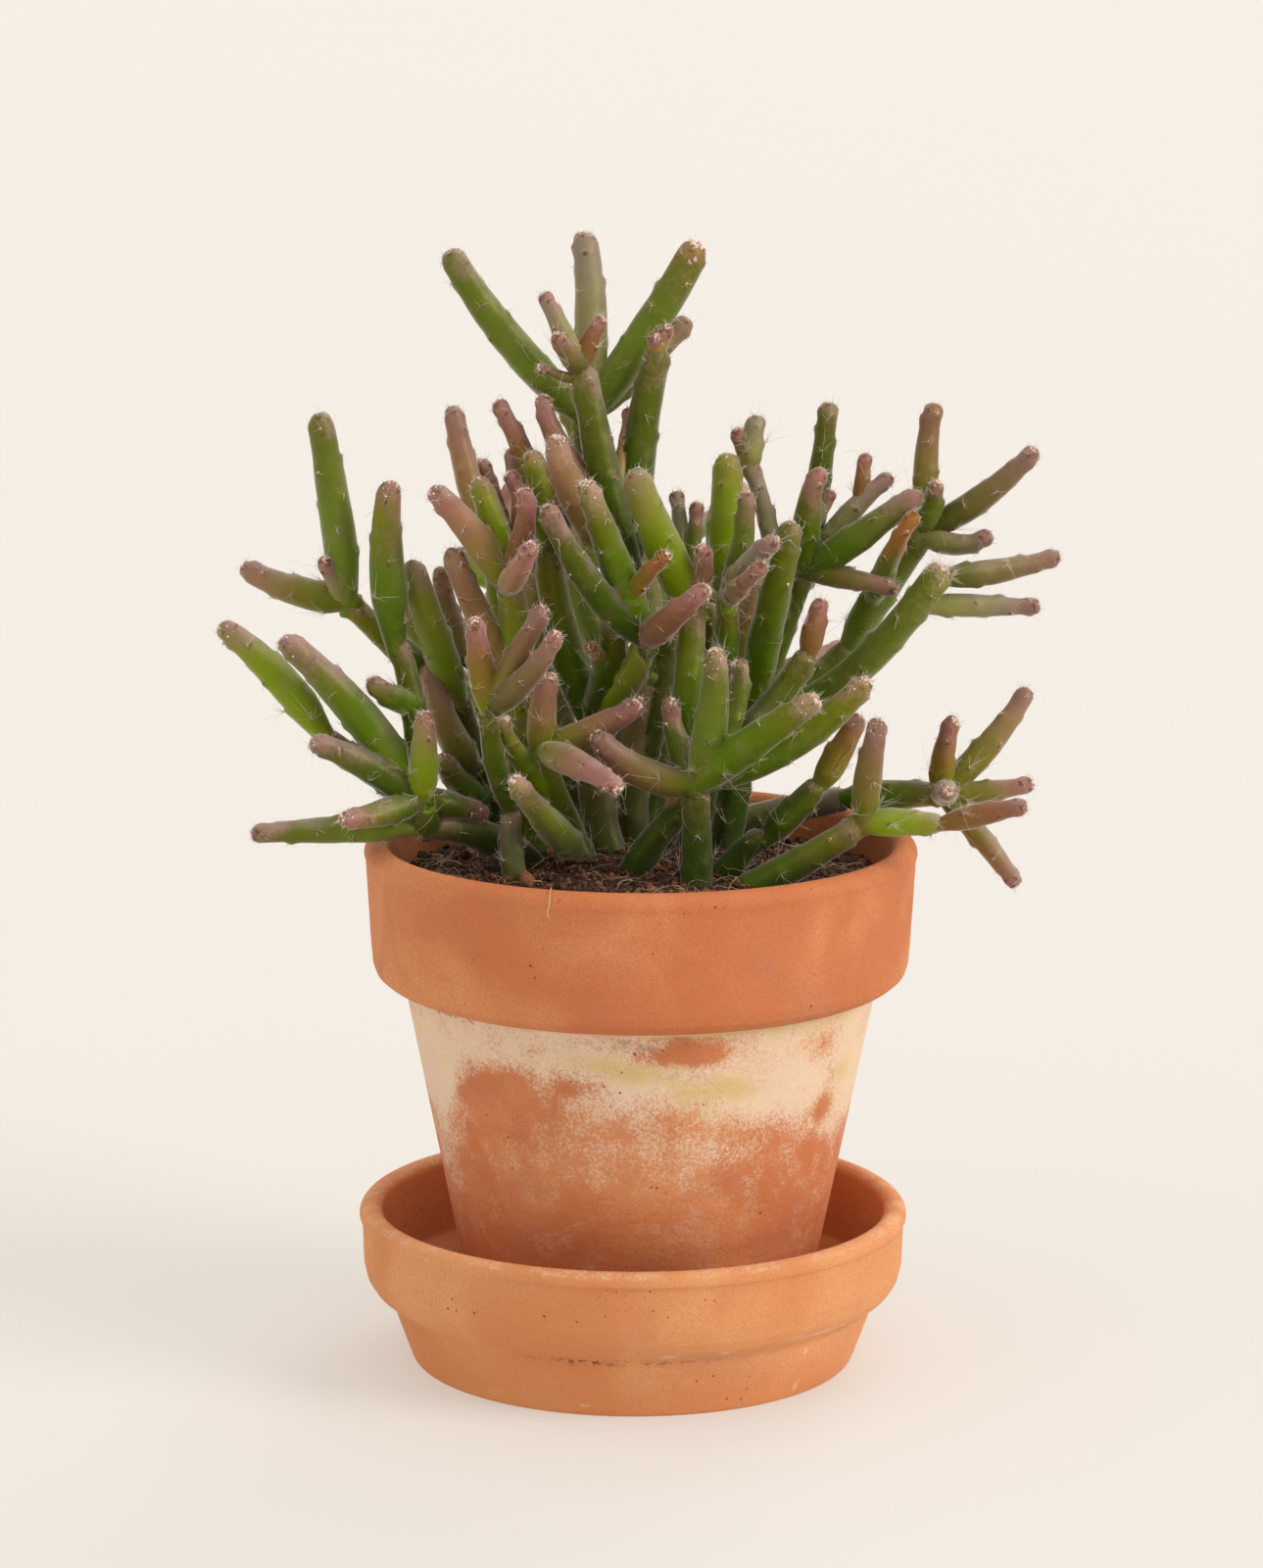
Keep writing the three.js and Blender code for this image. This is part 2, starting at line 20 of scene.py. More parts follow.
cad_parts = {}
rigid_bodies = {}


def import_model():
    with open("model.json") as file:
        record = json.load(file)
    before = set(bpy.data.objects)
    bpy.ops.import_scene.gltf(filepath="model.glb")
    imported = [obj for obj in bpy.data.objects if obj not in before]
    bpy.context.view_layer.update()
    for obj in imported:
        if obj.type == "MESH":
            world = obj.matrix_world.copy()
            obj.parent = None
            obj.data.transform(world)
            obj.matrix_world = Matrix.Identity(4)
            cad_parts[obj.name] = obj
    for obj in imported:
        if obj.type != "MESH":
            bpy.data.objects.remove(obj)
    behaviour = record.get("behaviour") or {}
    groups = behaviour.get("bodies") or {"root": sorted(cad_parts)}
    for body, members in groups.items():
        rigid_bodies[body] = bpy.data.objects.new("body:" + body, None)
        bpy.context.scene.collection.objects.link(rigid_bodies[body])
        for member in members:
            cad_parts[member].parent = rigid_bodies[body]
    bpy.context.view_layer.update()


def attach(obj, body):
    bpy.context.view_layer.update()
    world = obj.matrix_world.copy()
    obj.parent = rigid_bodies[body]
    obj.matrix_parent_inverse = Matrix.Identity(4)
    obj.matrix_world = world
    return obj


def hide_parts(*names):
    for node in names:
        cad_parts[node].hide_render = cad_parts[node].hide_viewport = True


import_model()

log = logging.getLogger("potted_plant")

MM = 0.001
UP = np.array([0, 0, 1])

# In radians: the step of a spiral of areoles, a full turn, and the range of random turns
GOLDEN_ANGLE = math.radians(137.5)
FULL_TURN = 2 * math.pi
ANY_TURN = 6.28

# How full the rounded end of a segment is, where 1 is a plain ellipse
CAP_POWER = 0.8

# What unevenness stirs a place and a seed with, and how it tells its finer layers apart
PLACE_STIR = (73856093, 19349663, 83492791)
SEED_STIR = 2654435761
KEY_STIR = (15731, 789221, 1376312589)
KEY_MASK = 0x7FFFFFFF
OCTAVE_SHIFT = 17.3
OCTAVE_SEED = 7

Rgb = tuple[float, float, float]
Point = tuple[float, float, float]
Spot = tuple[float, float]
Array = np.ndarray
Random = np.random.Generator
Material = bpy.types.Material
Piece = bpy.types.Object
Node = bpy.types.Node
Socket = bpy.types.NodeSocket
Feed = Socket | float | tuple


def daylight(colour: Rgb) -> tuple[float, float, float, float]:
    """Turn a colour as it looks into the shader's own light values.

    Args:
        colour: Red, green and blue from 0 to 255.

    Returns:
        Red, green, blue and a full alpha, linear.
    """
    linear = []
    for part in colour:
        share = part / 255
        linear.append(share / 12.92 if share <= 0.04045 else ((share + 0.055) / 1.055) ** 2.4)
    return (linear[0], linear[1], linear[2], 1.0)


def eased(value: Array, low: float, high: float) -> Array:
    """Rise smoothly from 0 at low to 1 at high, or fall where low is above high."""
    share = np.clip((value - low) / (high - low), 0, 1)
    return share * share * (3 - 2 * share)


def unit(vectors: Array) -> Array:
    """Give each vector a length of one."""
    return vectors / np.maximum(np.linalg.norm(vectors, axis=-1, keepdims=True), 1e-9)


def bent(start: Array, control: Array, end: Array, share: Array) -> Array:
    """Give points of a plain bent line, which leaves its start and reaches its end towards control."""
    return (1 - share) ** 2 * start + 2 * share * (1 - share) * control + share**2 * end


def turned(sideways: Array, axis: Array, turn: Array) -> Array:
    """Turn vectors that are square to an axis round it, by angles in radians."""
    return sideways * np.cos(turn) + np.cross(axis, sideways) * np.sin(turn)


def level_ways(turn: Array) -> Array:
    """Give the level unit vectors at angles in radians, counted from +X to +Y."""
    return np.stack([np.cos(turn), np.sin(turn), np.zeros(np.shape(turn))], axis=-1)


def hump(along: Array, across: Array, half_length: float, half_width: float) -> Array:
    """Give the heights of a smooth hump, 1 in its middle, at distances from it in two ways."""
    return np.exp(-((along / half_length) ** 2) - (across / half_width) ** 2)


def stirred(corner: Array, seed: int) -> Array:
    """Give a random value for each corner of a grid, always the same one for the same corner.

    Args:
        corner: Whole numbers for the place of each corner, one row each.
        seed: Which pattern it is.

    Returns:
        A value from -1 to 1 for each corner.
    """
    first, second, third = (corner[:, axis] * PLACE_STIR[axis] for axis in range(3))
    key = (first ^ second ^ third ^ seed * SEED_STIR) & KEY_MASK
    key = (key * (key * key * KEY_STIR[0] + KEY_STIR[1]) + KEY_STIR[2]) & KEY_MASK
    return key / (KEY_MASK // 2) - 1


def unevenness(points: Array, size: float, octaves: int = 3, seed: int = 0) -> Array:
    """Smooth, repeatable random values in space.

    Args:
        points: Where the values are wanted, one row each.
        size: How far apart the largest bumps are.
        octaves: How many finer layers are laid over each other.
        seed: Which pattern it is.

    Returns:
        A value from -1 to 1 for each point.
    """
    total = np.zeros(len(points))
    weights = 0.5 ** np.arange(octaves)
    for octave, weight in enumerate(weights):
        cells = points / size * 2**octave + OCTAVE_SHIFT * (octave + 1)
        corner = np.floor(cells).astype(np.int64)
        inside = cells - corner
        inside = inside * inside * (3 - 2 * inside)
        layer = np.zeros(len(points))
        for steps in np.ndindex(2, 2, 2):
            share = np.prod(np.where(steps, inside, 1 - inside), axis=1)
            layer += share * stirred(corner + np.array(steps), seed + OCTAVE_SEED * octave)
        total += weight * layer
    return total / weights.sum()


@dataclass
class Shell:
    """A mesh in the making: points in millimetres, faces, and values that each point has."""

    points: Array
    faces: list[Array]
    values: dict[str, Array] = field(default_factory=dict)

    @staticmethod
    def joined(shells: Sequence["Shell"]) -> "Shell":
        """Lay several shells side by side in one.

        Args:
            shells: What is joined; all have the same kinds of value.

        Returns:
            One shell with all their points and faces.
        """
        faces = []
        start = 0
        for shell in shells:
            faces.extend(block + start for block in shell.faces)
            start += len(shell.points)
        kinds = shells[0].values
        values = {key: np.concatenate([shell.values[key] for shell in shells]) for key in kinds}
        return Shell(np.concatenate([shell.points for shell in shells]), faces, values)

    @staticmethod
    def over_rings(
        rings: Array,
        foot: Array | None = None,
        head: Array | None = None,
        loop: bool = False,
    ) -> "Shell":
        """Stretch a skin over rings of points.

        Args:
            rings: The rings in order, each with the same number of points.
            foot: The point that closes the first ring.
            head: The point that closes the last ring.
            loop: Whether the last ring goes on to the first.

        Returns:
            A closed shell; its foot and head come after the rings' points.
        """
        count, sides = rings.shape[:2]
        numbers = np.arange(count * sides).reshape(count, sides)
        if loop:
            numbers = np.vstack([numbers, numbers[:1]])
        after = np.roll(numbers, -1, axis=1)
        quads = np.stack([numbers[:-1], after[:-1], after[1:], numbers[1:]], axis=-1)
        points = [rings.reshape(-1, 3)]
        faces = [quads.reshape(-1, 4)]
        if foot is not None:
            points.append(np.atleast_2d(foot))
            pole = np.full(sides, count * sides)
            faces.append(np.stack([pole, after[0], numbers[0]], axis=-1))
        if head is not None:
            points.append(np.atleast_2d(head))
            pole = np.full(sides, count * sides + (foot is not None))
            faces.append(np.stack([numbers[-1], after[-1], pole], axis=-1))
        return Shell(np.concatenate(points), faces)

    def as_object(self, name: str, finish: Material) -> Piece:
        """Make the Blender object, in metres.

        Args:
            name: The piece's name.
            finish: What it is made of.

        Returns:
            The object, in the scene.
        """
        mesh = bpy.data.meshes.new(name)
        mesh.from_pydata(self.points * MM, [], [face for block in self.faces for face in block.tolist()])
        self.write_values(mesh)
        mesh.shade_smooth()
        mesh.materials.append(finish)
        piece = bpy.data.objects.new(name, mesh)
        bpy.context.scene.collection.objects.link(piece)
        return piece

    def write_values(self, mesh: bpy.types.Mesh) -> None:
        """Write each point's values into a mesh, for its finish to read.

        Args:
            mesh: The mesh; it has as many points as this shell.
        """
        for key, value in self.values.items():
            is_colour = value.ndim == 2
            layer = mesh.attributes.new(key, "FLOAT_COLOR" if is_colour else "FLOAT", "POINT")
            layer.data.foreach_set("color" if is_colour else "value", value.astype(np.float32).ravel())

    def united(self, name: str, parts: Sequence["Shell"], finish: Material) -> Piece:
        """Grow the parts into this shell, so that one closed skin is left.

        Args:
            name: The piece's name.
            parts: The shells that are merged into this one.
            finish: What the piece is made of.

        Returns:
            The object, whose points have the values of the nearest point before.
        """
        whole = Shell.joined([self, *parts])
        if not parts:
            return whole.as_object(name, finish)
        blank = Shell(self.points, self.faces).as_object(name, finish)
        others = [Shell(part.points, part.faces).as_object(name + "_part", finish) for part in parts]
        for other in others:
            merge = blank.modifiers.new("merge", "BOOLEAN")
            merge.operation = "UNION"
            merge.solver = "MANIFOLD"
            merge.object = other
        bpy.context.view_layer.update()
        mesh = bpy.data.meshes.new_from_object(blank.evaluated_get(bpy.context.evaluated_depsgraph_get()))
        blank.modifiers.clear()
        blank.data = mesh
        for other in others:
            bpy.data.objects.remove(other)
        nearest = KDTree(len(whole.points))
        for number, point in enumerate(whole.points * MM):
            nearest.insert(point, number)
        nearest.balance()
        picked = np.array([nearest.find(corner.co)[1] for corner in mesh.vertices])
        values = {key: value[picked] for key, value in whole.values.items()}
        Shell(whole.points[picked], [], values).write_values(mesh)
        mesh.shade_smooth()
        return blank


class Paint:
    """The node tree of one finish, built a step at a time."""

    def __init__(self, name: str) -> None:
        """Start a material whose surface is one Principled shader.

        Args:
            name: The material's name.
        """
        self.material = bpy.data.materials.new(name)
        self.material.use_nodes = True
        self.nodes = self.material.node_tree.nodes
        self.links = self.material.node_tree.links
        self.surface = self.nodes["Principled BSDF"]
        self.place = self.nodes.new("ShaderNodeTexCoord").outputs["Object"]

    def feed(self, node: Node, inputs: dict[str | int, Feed]) -> None:
        """Put numbers, colours and other nodes' outputs into a node's sockets.

        Args:
            node: The node.
            inputs: What goes into each socket. A colour of three parts is one as it looks in
                daylight; one of four is in the shader's own light values.
        """
        for key, value in inputs.items():
            socket = node.inputs[key]
            if isinstance(value, Socket):
                self.links.new(value, socket)
            elif socket.type == "RGBA" and len(value) == 3:
                socket.default_value = daylight(value)
            else:
                socket.default_value = value

    def node(self, kind: str, inputs: dict[str | int, Feed], **settings: str) -> Node:
        """Add a node to the tree.

        Args:
            kind: What it is.
            inputs: What goes into its sockets.
            settings: Its own settings.

        Returns:
            The node.
        """
        node = self.nodes.new("ShaderNode" + kind)
        for key, setting in settings.items():
            setattr(node, key, setting)
        self.feed(node, inputs)
        return node

    def stretched(self, scale: Point) -> Socket:
        """Give the place on the surface with each axis scaled by its own factor."""
        return self.node("VectorMath", {0: self.place, 1: scale}, operation="MULTIPLY").outputs[0]

    def grain(self, size: float, detail: float = 2, at: Socket | None = None, bend: float = 0) -> Socket:
        """Cloudy values round a half, whose largest clouds are so many millimetres wide."""
        inputs = {"Vector": at or self.place, "Scale": 1 / (size * MM), "Detail": detail, "Distortion": bend}
        return self.node("TexNoise", inputs).outputs[0]

    def streaks(self, detail: float, scale: Point) -> Socket:
        """Cloudy values with so many bumps a metre along each axis."""
        return self.grain(1 / MM, detail, self.stretched(scale))

    def dots(self, size: float, radius: float, soft: float = 0.5) -> Socket:
        """Scattered round dots: 1 in a dot, 0 between them; sizes are millimetres, soft is a share."""
        node = self.node("TexVoronoi", {"Vector": self.place, "Scale": 1 / (size * MM)})
        return self.spread(node.outputs["Distance"], radius / size, soft * radius / size)

    def value(self, name: str) -> Socket:
        """Read a number that the mesh's points have, by its name."""
        return self.node("Attribute", {}, attribute_name=name).outputs["Fac"]

    def tint(self, name: str) -> Socket:
        """Read a colour that the mesh's points have, by its name."""
        return self.node("Attribute", {}, attribute_name=name).outputs["Color"]

    def sum(self, kind: str, first: Feed, second: Feed) -> Socket:
        """Work out a sum of two numbers, such as ADD or MULTIPLY."""
        return self.node("Math", {0: first, 1: second}, operation=kind).outputs[0]

    def spread(self, value: Feed, low: float, high: float, to_low: float = 0, to_high: float = 1) -> Socket:
        """Spread values from low to high smoothly over a new range.

        Args:
            value: What is spread.
            low: The value that becomes to_low.
            high: The value that becomes to_high.
            to_low: Start of the new range.
            to_high: End of the new range.

        Returns:
            The spread value.
        """
        inputs = {"Value": value, "From Min": low, "From Max": high, "To Min": to_low, "To Max": to_high}
        return self.node("MapRange", inputs, interpolation_type="SMOOTHSTEP").outputs[0]

    def swayed(self, value: Feed, noise: Socket, reach: float, margin: float = 0.2) -> Socket:
        """Let a noise round a half raise and lower a value, fully so at margin from a half."""
        return self.sum("ADD", value, self.spread(noise, 0.5 - margin, 0.5 + margin, -reach, reach))

    def blend(self, share: Feed, first: Feed, second: Feed) -> Socket:
        """Go from the first colour to the second as the share goes from 0 to 1."""
        return self.node("Mix", {0: share, 6: first, 7: second}, data_type="RGBA").outputs[2]

    def washed(
        self, colour: Feed, tone: Feed, where: Feed, low: float, high: float, most: float = 1
    ) -> Socket:
        """Lay a second colour over a first where a value is high.

        Args:
            colour: The first colour.
            tone: The second colour.
            where: The value.
            low: The value at which the second colour starts to show.
            high: The value at which it shows the most.
            most: How much of it shows there, as a share.

        Returns:
            The mixed colour.
        """
        return self.blend(self.spread(where, low, high, 0, most), colour, tone)

    def layered(self, layers: Sequence[tuple[Socket, float]]) -> Socket:
        """Add several reliefs up.

        Args:
            layers: Each relief with its weight.

        Returns:
            How high each point is.
        """
        weighed = [self.sum("MULTIPLY", layer, weight) for layer, weight in layers]
        total = weighed[0]
        for layer in weighed[1:]:
            total = self.sum("ADD", total, layer)
        return total

    def relief(self, height: Socket, depth: float, strength: float = 1) -> None:
        """Let the surface catch the light as if it had this relief, its depth in millimetres."""
        node = self.node("Bump", {"Strength": strength, "Distance": depth * MM, "Height": height})
        self.feed(self.surface, {"Normal": node.outputs[0]})

    def finish(self, colour: Feed, roughness: Feed) -> Material:
        """Put the colour and the roughness on the surface, and hand over the material."""
        self.feed(self.surface, {"Base Color": colour, "Roughness": roughness})
        return self.material


@dataclass(frozen=True)
class ClayFinish:
    """Fired clay: clouded, ringed by the wheel, pitted, with lime, algae and damp on it."""

    name: str
    body: Rgb
    pale: Rgb
    burnt: Rgb
    ashen: Rgb
    damp: Rgb
    lime: Rgb = (238, 216, 184)
    rosy_lime: Rgb = (238, 214, 188)
    algae: Rgb = (214, 184, 112)
    pit: Rgb = (88, 28, 8)
    pit_share: float = 0.85
    relief_depth: float = 0.4
    gloss: float = 0.3

    def clay(self, paint: Paint, fine: Socket) -> Socket:
        """Colour the bare clay.

        Args:
            paint: The node tree.
            fine: The clay's grain.

        Returns:
            The colour, with the damp on it.
        """
        clouds = paint.grain(size=34, detail=3, bend=0.5)
        drifts = paint.grain(size=21, detail=4, bend=0.8)
        smears = paint.streaks(detail=3, scale=(34, 34, 150))
        colour = paint.blend(paint.spread(clouds, 0.34, 0.68), self.burnt, self.pale)
        colour = paint.blend(0.5, self.body, colour)
        colour = paint.washed(colour, self.ashen, drifts, 0.48, 0.72, most=0.5)
        colour = paint.washed(colour, self.burnt, smears, 0.55, 0.8, most=0.25)
        colour = paint.washed(colour, self.burnt, fine, 0.35, 0.7, most=0.45)
        return paint.washed(colour, self.damp, paint.swayed(paint.value("damp"), clouds, 0.18), 0.12, 0.95)

    def crusted(self, paint: Paint, colour: Socket, fine: Socket) -> tuple[Socket, Socket]:
        """Lay lime and algae on the clay, as a veil with fine grains at its edges.

        Args:
            paint: The node tree.
            colour: The colour of the clay.
            fine: The clay's grain.

        Returns:
            The colour, and how thick the lime is.
        """
        patches = paint.grain(size=6, detail=2, bend=0.2)
        # On the saucer the lime value also carries a painted highlight along the lip
        thick = paint.swayed(paint.value("lime"), patches, 0.15)
        grains = paint.spread(fine, 0.35, 0.65, -0.2, 0.2)
        grains = paint.swayed(grains, paint.grain(size=0.9, detail=1), 0.14, margin=0.15)
        grains = paint.sum("MULTIPLY", grains, paint.spread(thick, -0.15, 0.25))
        crust = paint.spread(paint.sum("ADD", thick, grains), -0.05, 1.0, 0, 0.86)
        lime = paint.washed(self.lime, self.rosy_lime, paint.grain(size=16, detail=2), 0.42, 0.6)
        colour = paint.blend(crust, colour, lime)
        mossy = paint.swayed(paint.value("algae"), paint.grain(size=6, detail=4), 0.25)
        return paint.washed(colour, self.algae, mossy, 0.05, 1.0, most=0.72), crust

    def material(self) -> Material:
        """Build the finish.

        Returns:
            A material that reads the points' values lime, algae, damp, pitted and dirty.
        """
        paint = Paint(self.name)
        fine = paint.grain(size=0.5, detail=2)
        rings = paint.streaks(detail=3, scale=(12, 12, 700))
        leather = paint.grain(size=1.7, detail=3)
        colour, crust = self.crusted(paint, self.clay(paint, fine), fine)
        sparse = paint.spread(paint.grain(size=19, detail=1), 0.55, 0.68, 0, 0.4)
        where = paint.sum("MAXIMUM", paint.value("pitted"), sparse)
        holes = paint.sum("MULTIPLY", paint.dots(3.1, 0.36, soft=0.6), paint.spread(where, 0.1, 0.45))
        specks = paint.sum("MULTIPLY", paint.dots(1.35, 0.22, soft=0.5), paint.spread(where, 0.1, 0.9))
        grimy = paint.sum("MULTIPLY", paint.spread(leather, 0.5, 0.62), paint.value("dirty"))
        marks = paint.sum("MAXIMUM", paint.sum("MAXIMUM", holes, specks), grimy)
        colour = paint.blend(paint.sum("MULTIPLY", marks, self.pit_share), colour, self.pit)
        raised = paint.layered([(rings, 0.3), (fine, 0.4), (leather, 0.7), (crust, 0.15)])
        height = paint.sum("SUBTRACT", raised, paint.sum("MULTIPLY", holes, 0.4))
        paint.relief(height, self.relief_depth, strength=0.7)
        paint.feed(paint.surface, {"Specular IOR Level": self.gloss})
        return paint.finish(colour, paint.spread(fine, 0.2, 0.8, 0.7, 0.9))


@dataclass(frozen=True)
class SkinFinish:
    """The waxy skin of the stems: green to mauve, with pale pores, dark rings round the areoles, and a pale
    wash on the side facing the light that is partly blush and partly painted highlight.
    """

    name: str = "stem_skin"
    # Pale grey-pink on the side facing the light: partly the skin's own sun-side blush, partly painted
    # highlight
    sun_blush_and_highlight: Rgb = (202, 180, 174)
    pore: Rgb = (176, 184, 84)
    cork: Rgb = (140, 104, 66)
    ringed: Rgb = (98, 52, 38)
    bloom: Rgb = (226, 206, 210)
    bloom_weight: float = 0.85
    bloom_roughness: float = 0.33
    gloss: float = 0.42
    gloss_light: tuple[float, float, float, float] = (0.75, 0.8, 0.2, 1.0)
    glow: float = 0.1
    glow_light: Point = (1.0, 0.8, 0.1)
    glow_depth: float = 1.4
    relief_depth: float = 0.26

    def skin(self, paint: Paint, patches: Socket, mottle: Socket, pores: Socket) -> Socket:
        """Colour the skin.

        Args:
            paint: The node tree.
            patches: The larger unevenness.
            mottle: The finer unevenness.
            pores: 1 in a pore.

        Returns:
            The colour.
        """
        blush = paint.tint("blush")
        ripe = paint.swayed(paint.swayed(paint.value("ripe"), patches, 0.13), mottle, 0.14)
        colour = paint.washed(paint.tint("skin"), blush, patches, 0.45, 0.74, most=0.12)
        colour = paint.washed(colour, blush, ripe, 0.05, 1.0)
        # Wash the side facing the light towards pale grey-pink: partly blush, partly painted highlight
        blush_and_highlight_share = paint.sum("MULTIPLY", paint.value("sun_blush_and_highlight"), paint.spread(patches, 0.3, 0.7, 0.12, 0.34))
        colour = paint.blend(blush_and_highlight_share, colour, self.sun_blush_and_highlight)
        colour = paint.washed(colour, self.pore, mottle, 0.55, 0.8, most=0.1)
        colour = paint.blend(paint.sum("MULTIPLY", pores, 0.14), colour, self.pore)
        eyed = paint.spread(paint.swayed(paint.value("eyed"), mottle, 0.25), 0.4, 0.95)
        colour = paint.blend(paint.sum("MULTIPLY", eyed, 0.8), colour, self.ringed)
        return paint.blend(paint.value("corky"), colour, self.cork)

    def material(self) -> Material:
        """Build the finish.

        Returns:
            A material that reads the points' values skin, blush, ripe, sunny, corky and eyed.
        """
        paint = Paint(self.name)
        patches = paint.grain(size=6, detail=3, bend=0.3)
        mottle = paint.grain(size=1.1, detail=4)
        pores = paint.dots(0.5, 0.13, soft=0.3)
        colour = self.skin(paint, patches, mottle, pores)
        raised = paint.layered([(mottle, 0.7), (patches, 0.6)])
        height = paint.sum("SUBTRACT", raised, paint.sum("MULTIPLY", pores, 0.25))
        paint.relief(height, self.relief_depth, strength=0.55)
        settings = {
            "Subsurface Weight": self.glow,
            "Subsurface Radius": self.glow_light,
            "Subsurface Scale": self.glow_depth * MM,
            "Specular IOR Level": self.gloss,
            "Specular Tint": self.gloss_light,
            "Sheen Weight": self.bloom_weight,
            "Sheen Roughness": self.bloom_roughness,
            "Sheen Tint": self.bloom,
        }
        paint.feed(paint.surface, settings)
        return paint.finish(colour, paint.spread(mottle, 0.25, 0.75, 0.3, 0.48))


@dataclass(frozen=True)
class GrainyFinish:
    """Something fine in many bits, whose shade goes from bit to bit."""

    name: str
    dark: Rgb
    light: Rgb
    grain_size: float
    roughness: float
    relief_depth: float

    def material(self) -> Material:
        """Build the finish.

        Returns:
            A material that reads the points' value shade.
        """
        paint = Paint(self.name)
        grain = paint.grain(self.grain_size, detail=3)
        colour = paint.washed(self.dark, self.light, paint.swayed(paint.value("shade"), grain, 0.3), 0, 1)
        paint.relief(grain, self.relief_depth, strength=0.6)
        roughness = paint.spread(grain, 0.2, 0.8, self.roughness - 0.08, self.roughness + 0.05)
        return paint.finish(colour, roughness)


@dataclass(frozen=True)
class PaperFinish:
    """The plain cream floor that the plant stands on. It gives off a glow of its own, which lightens the
    shadows on it and lights the plant from below.
    """

    name: str = "glowing_cream_floor"
    colour: Rgb = (176, 173, 169)
    glow: Rgb = (245, 238, 228)
    glow_strength: float = 0.43
    roughness: float = 0.9
    relief_depth: float = 0.05

    def material(self) -> Material:
        """Build the finish.

        Returns:
            A material that gives off part of its own light.
        """
        paint = Paint(self.name)
        paint.relief(paint.grain(size=2, detail=2), self.relief_depth, strength=0.2)
        # The floor's own glow lightens the shadows that fall on it and lights the plant from below
        paint.feed(paint.surface, {"Emission Color": self.glow, "Emission Strength": self.glow_strength})
        return paint.finish(self.colour, self.roughness)


@dataclass(frozen=True)
class FuzzFinish:
    """The pale bristles, the areoles' cushions and the scales at the tips."""

    name: str = "bristles_and_scales"
    shaded: Rgb = (196, 170, 148)
    relief_depth: float = 0.06

    def material(self) -> Material:
        """Build the finish.

        Returns:
            A material that reads the points' colour tone.
        """
        paint = Paint(self.name)
        grain = paint.grain(size=0.5, detail=2)
        colour = paint.washed(paint.tint("tone"), self.shaded, grain, 0.35, 0.75, most=0.4)
        paint.relief(grain, self.relief_depth, strength=0.5)
        return paint.finish(colour, paint.spread(grain, 0.2, 0.8, 0.5, 0.72))


@dataclass(frozen=True)
class TipLook:
    """How the end of a segment looks: its colour, where that sets in, how slender it gets,
    and its hairs and scales."""

    colour: Rgb
    sets_in: float
    strength: float
    slender: float
    hairs: int
    scales: int
    hair_length: float = 1.6
    scale_radius: float = 0.27


class Body(Enum):
    """A segment's colour at its foot, halfway and below its tip."""

    LIME = ((123, 142, 12), (120, 145, 16), (131, 135, 42))
    LEAF = ((106, 136, 10), (84, 113, 4), (98, 106, 12))
    FERN = ((71, 96, 8), (82, 109, 6), (120, 117, 24))
    GRASS = ((86, 116, 14), (88, 115, 18), (104, 103, 46))
    # A dark green that also stands in for the shade deep inside the plant, so partly painted shade
    DEEP_AND_SHADED = ((57, 78, 8), (61, 83, 6), (84, 89, 20))
    MOSS = ((112, 131, 44), (100, 119, 36), (92, 103, 28))
    BRONZE = ((67, 76, 10), (110, 95, 53), (126, 99, 75))
    PALE = ((133, 135, 66), (139, 135, 84), (141, 128, 113))
    OLIVE = ((96, 110, 16), (120, 102, 49), (129, 89, 73))
    BLUSHED = ((100, 108, 16), (122, 112, 47), (156, 119, 95))
    TAWNY = ((125, 131, 8), (133, 109, 33), (142, 93, 63))
    FAWN = ((155, 120, 75), (149, 118, 67), (152, 109, 81))
    ROSY = ((129, 142, 8), (159, 124, 79), (165, 109, 99))
    RUST = ((125, 89, 45), (130, 85, 53), (137, 85, 69))


class Tip(Enum):
    """How a segment ends."""

    PLAIN = TipLook((146, 118, 100), 0.84, 0.85, 0.24, 14, 7)
    MAUVE = TipLook((148, 108, 104), 0.7, 0.95, 0.34, 20, 10, 1.5, 0.32)
    PINK = TipLook((164, 112, 110), 0.6, 1.0, 0.4, 26, 13, 1.5, 0.38)
    ORANGE = TipLook((160, 102, 52), 0.4, 0.95, 0.4, 16, 12, 1.2, 0.28)
    FLUFFY = TipLook((172, 136, 118), 0.78, 0.85, 0.36, 46, 22, 1.8, 0.42)
    BUDDED = TipLook((150, 112, 78), 0.74, 0.85, 0.14, 16, 18, 1.5, 0.6)
    SHAGGY = TipLook((176, 146, 100), 0.84, 0.8, 0.12, 150, 30, 3.0, 0.4)


@dataclass(frozen=True)
class Segment:
    """One segment of a stem: the points that its axis runs through, and its looks."""

    half: Point
    tip: Point
    thick: float
    body: Body
    end: Tip
    place: Spot | None = None
    parent: int = -1
    share: float = 1.0


def rooted(place: Spot, half: Point, tip: Point, thick: float, body: Body, end: Tip) -> Segment:
    """Name a segment that comes out of the soil."""
    return Segment(half, tip, thick, body, end, place=place)


def grown(
    parent: int, share: float, half: Point, tip: Point, thick: float, body: Body, end: Tip
) -> Segment:
    """Name a segment that grew on an earlier one of the same stem."""
    return Segment(half, tip, thick, body, end, parent=parent, share=share)


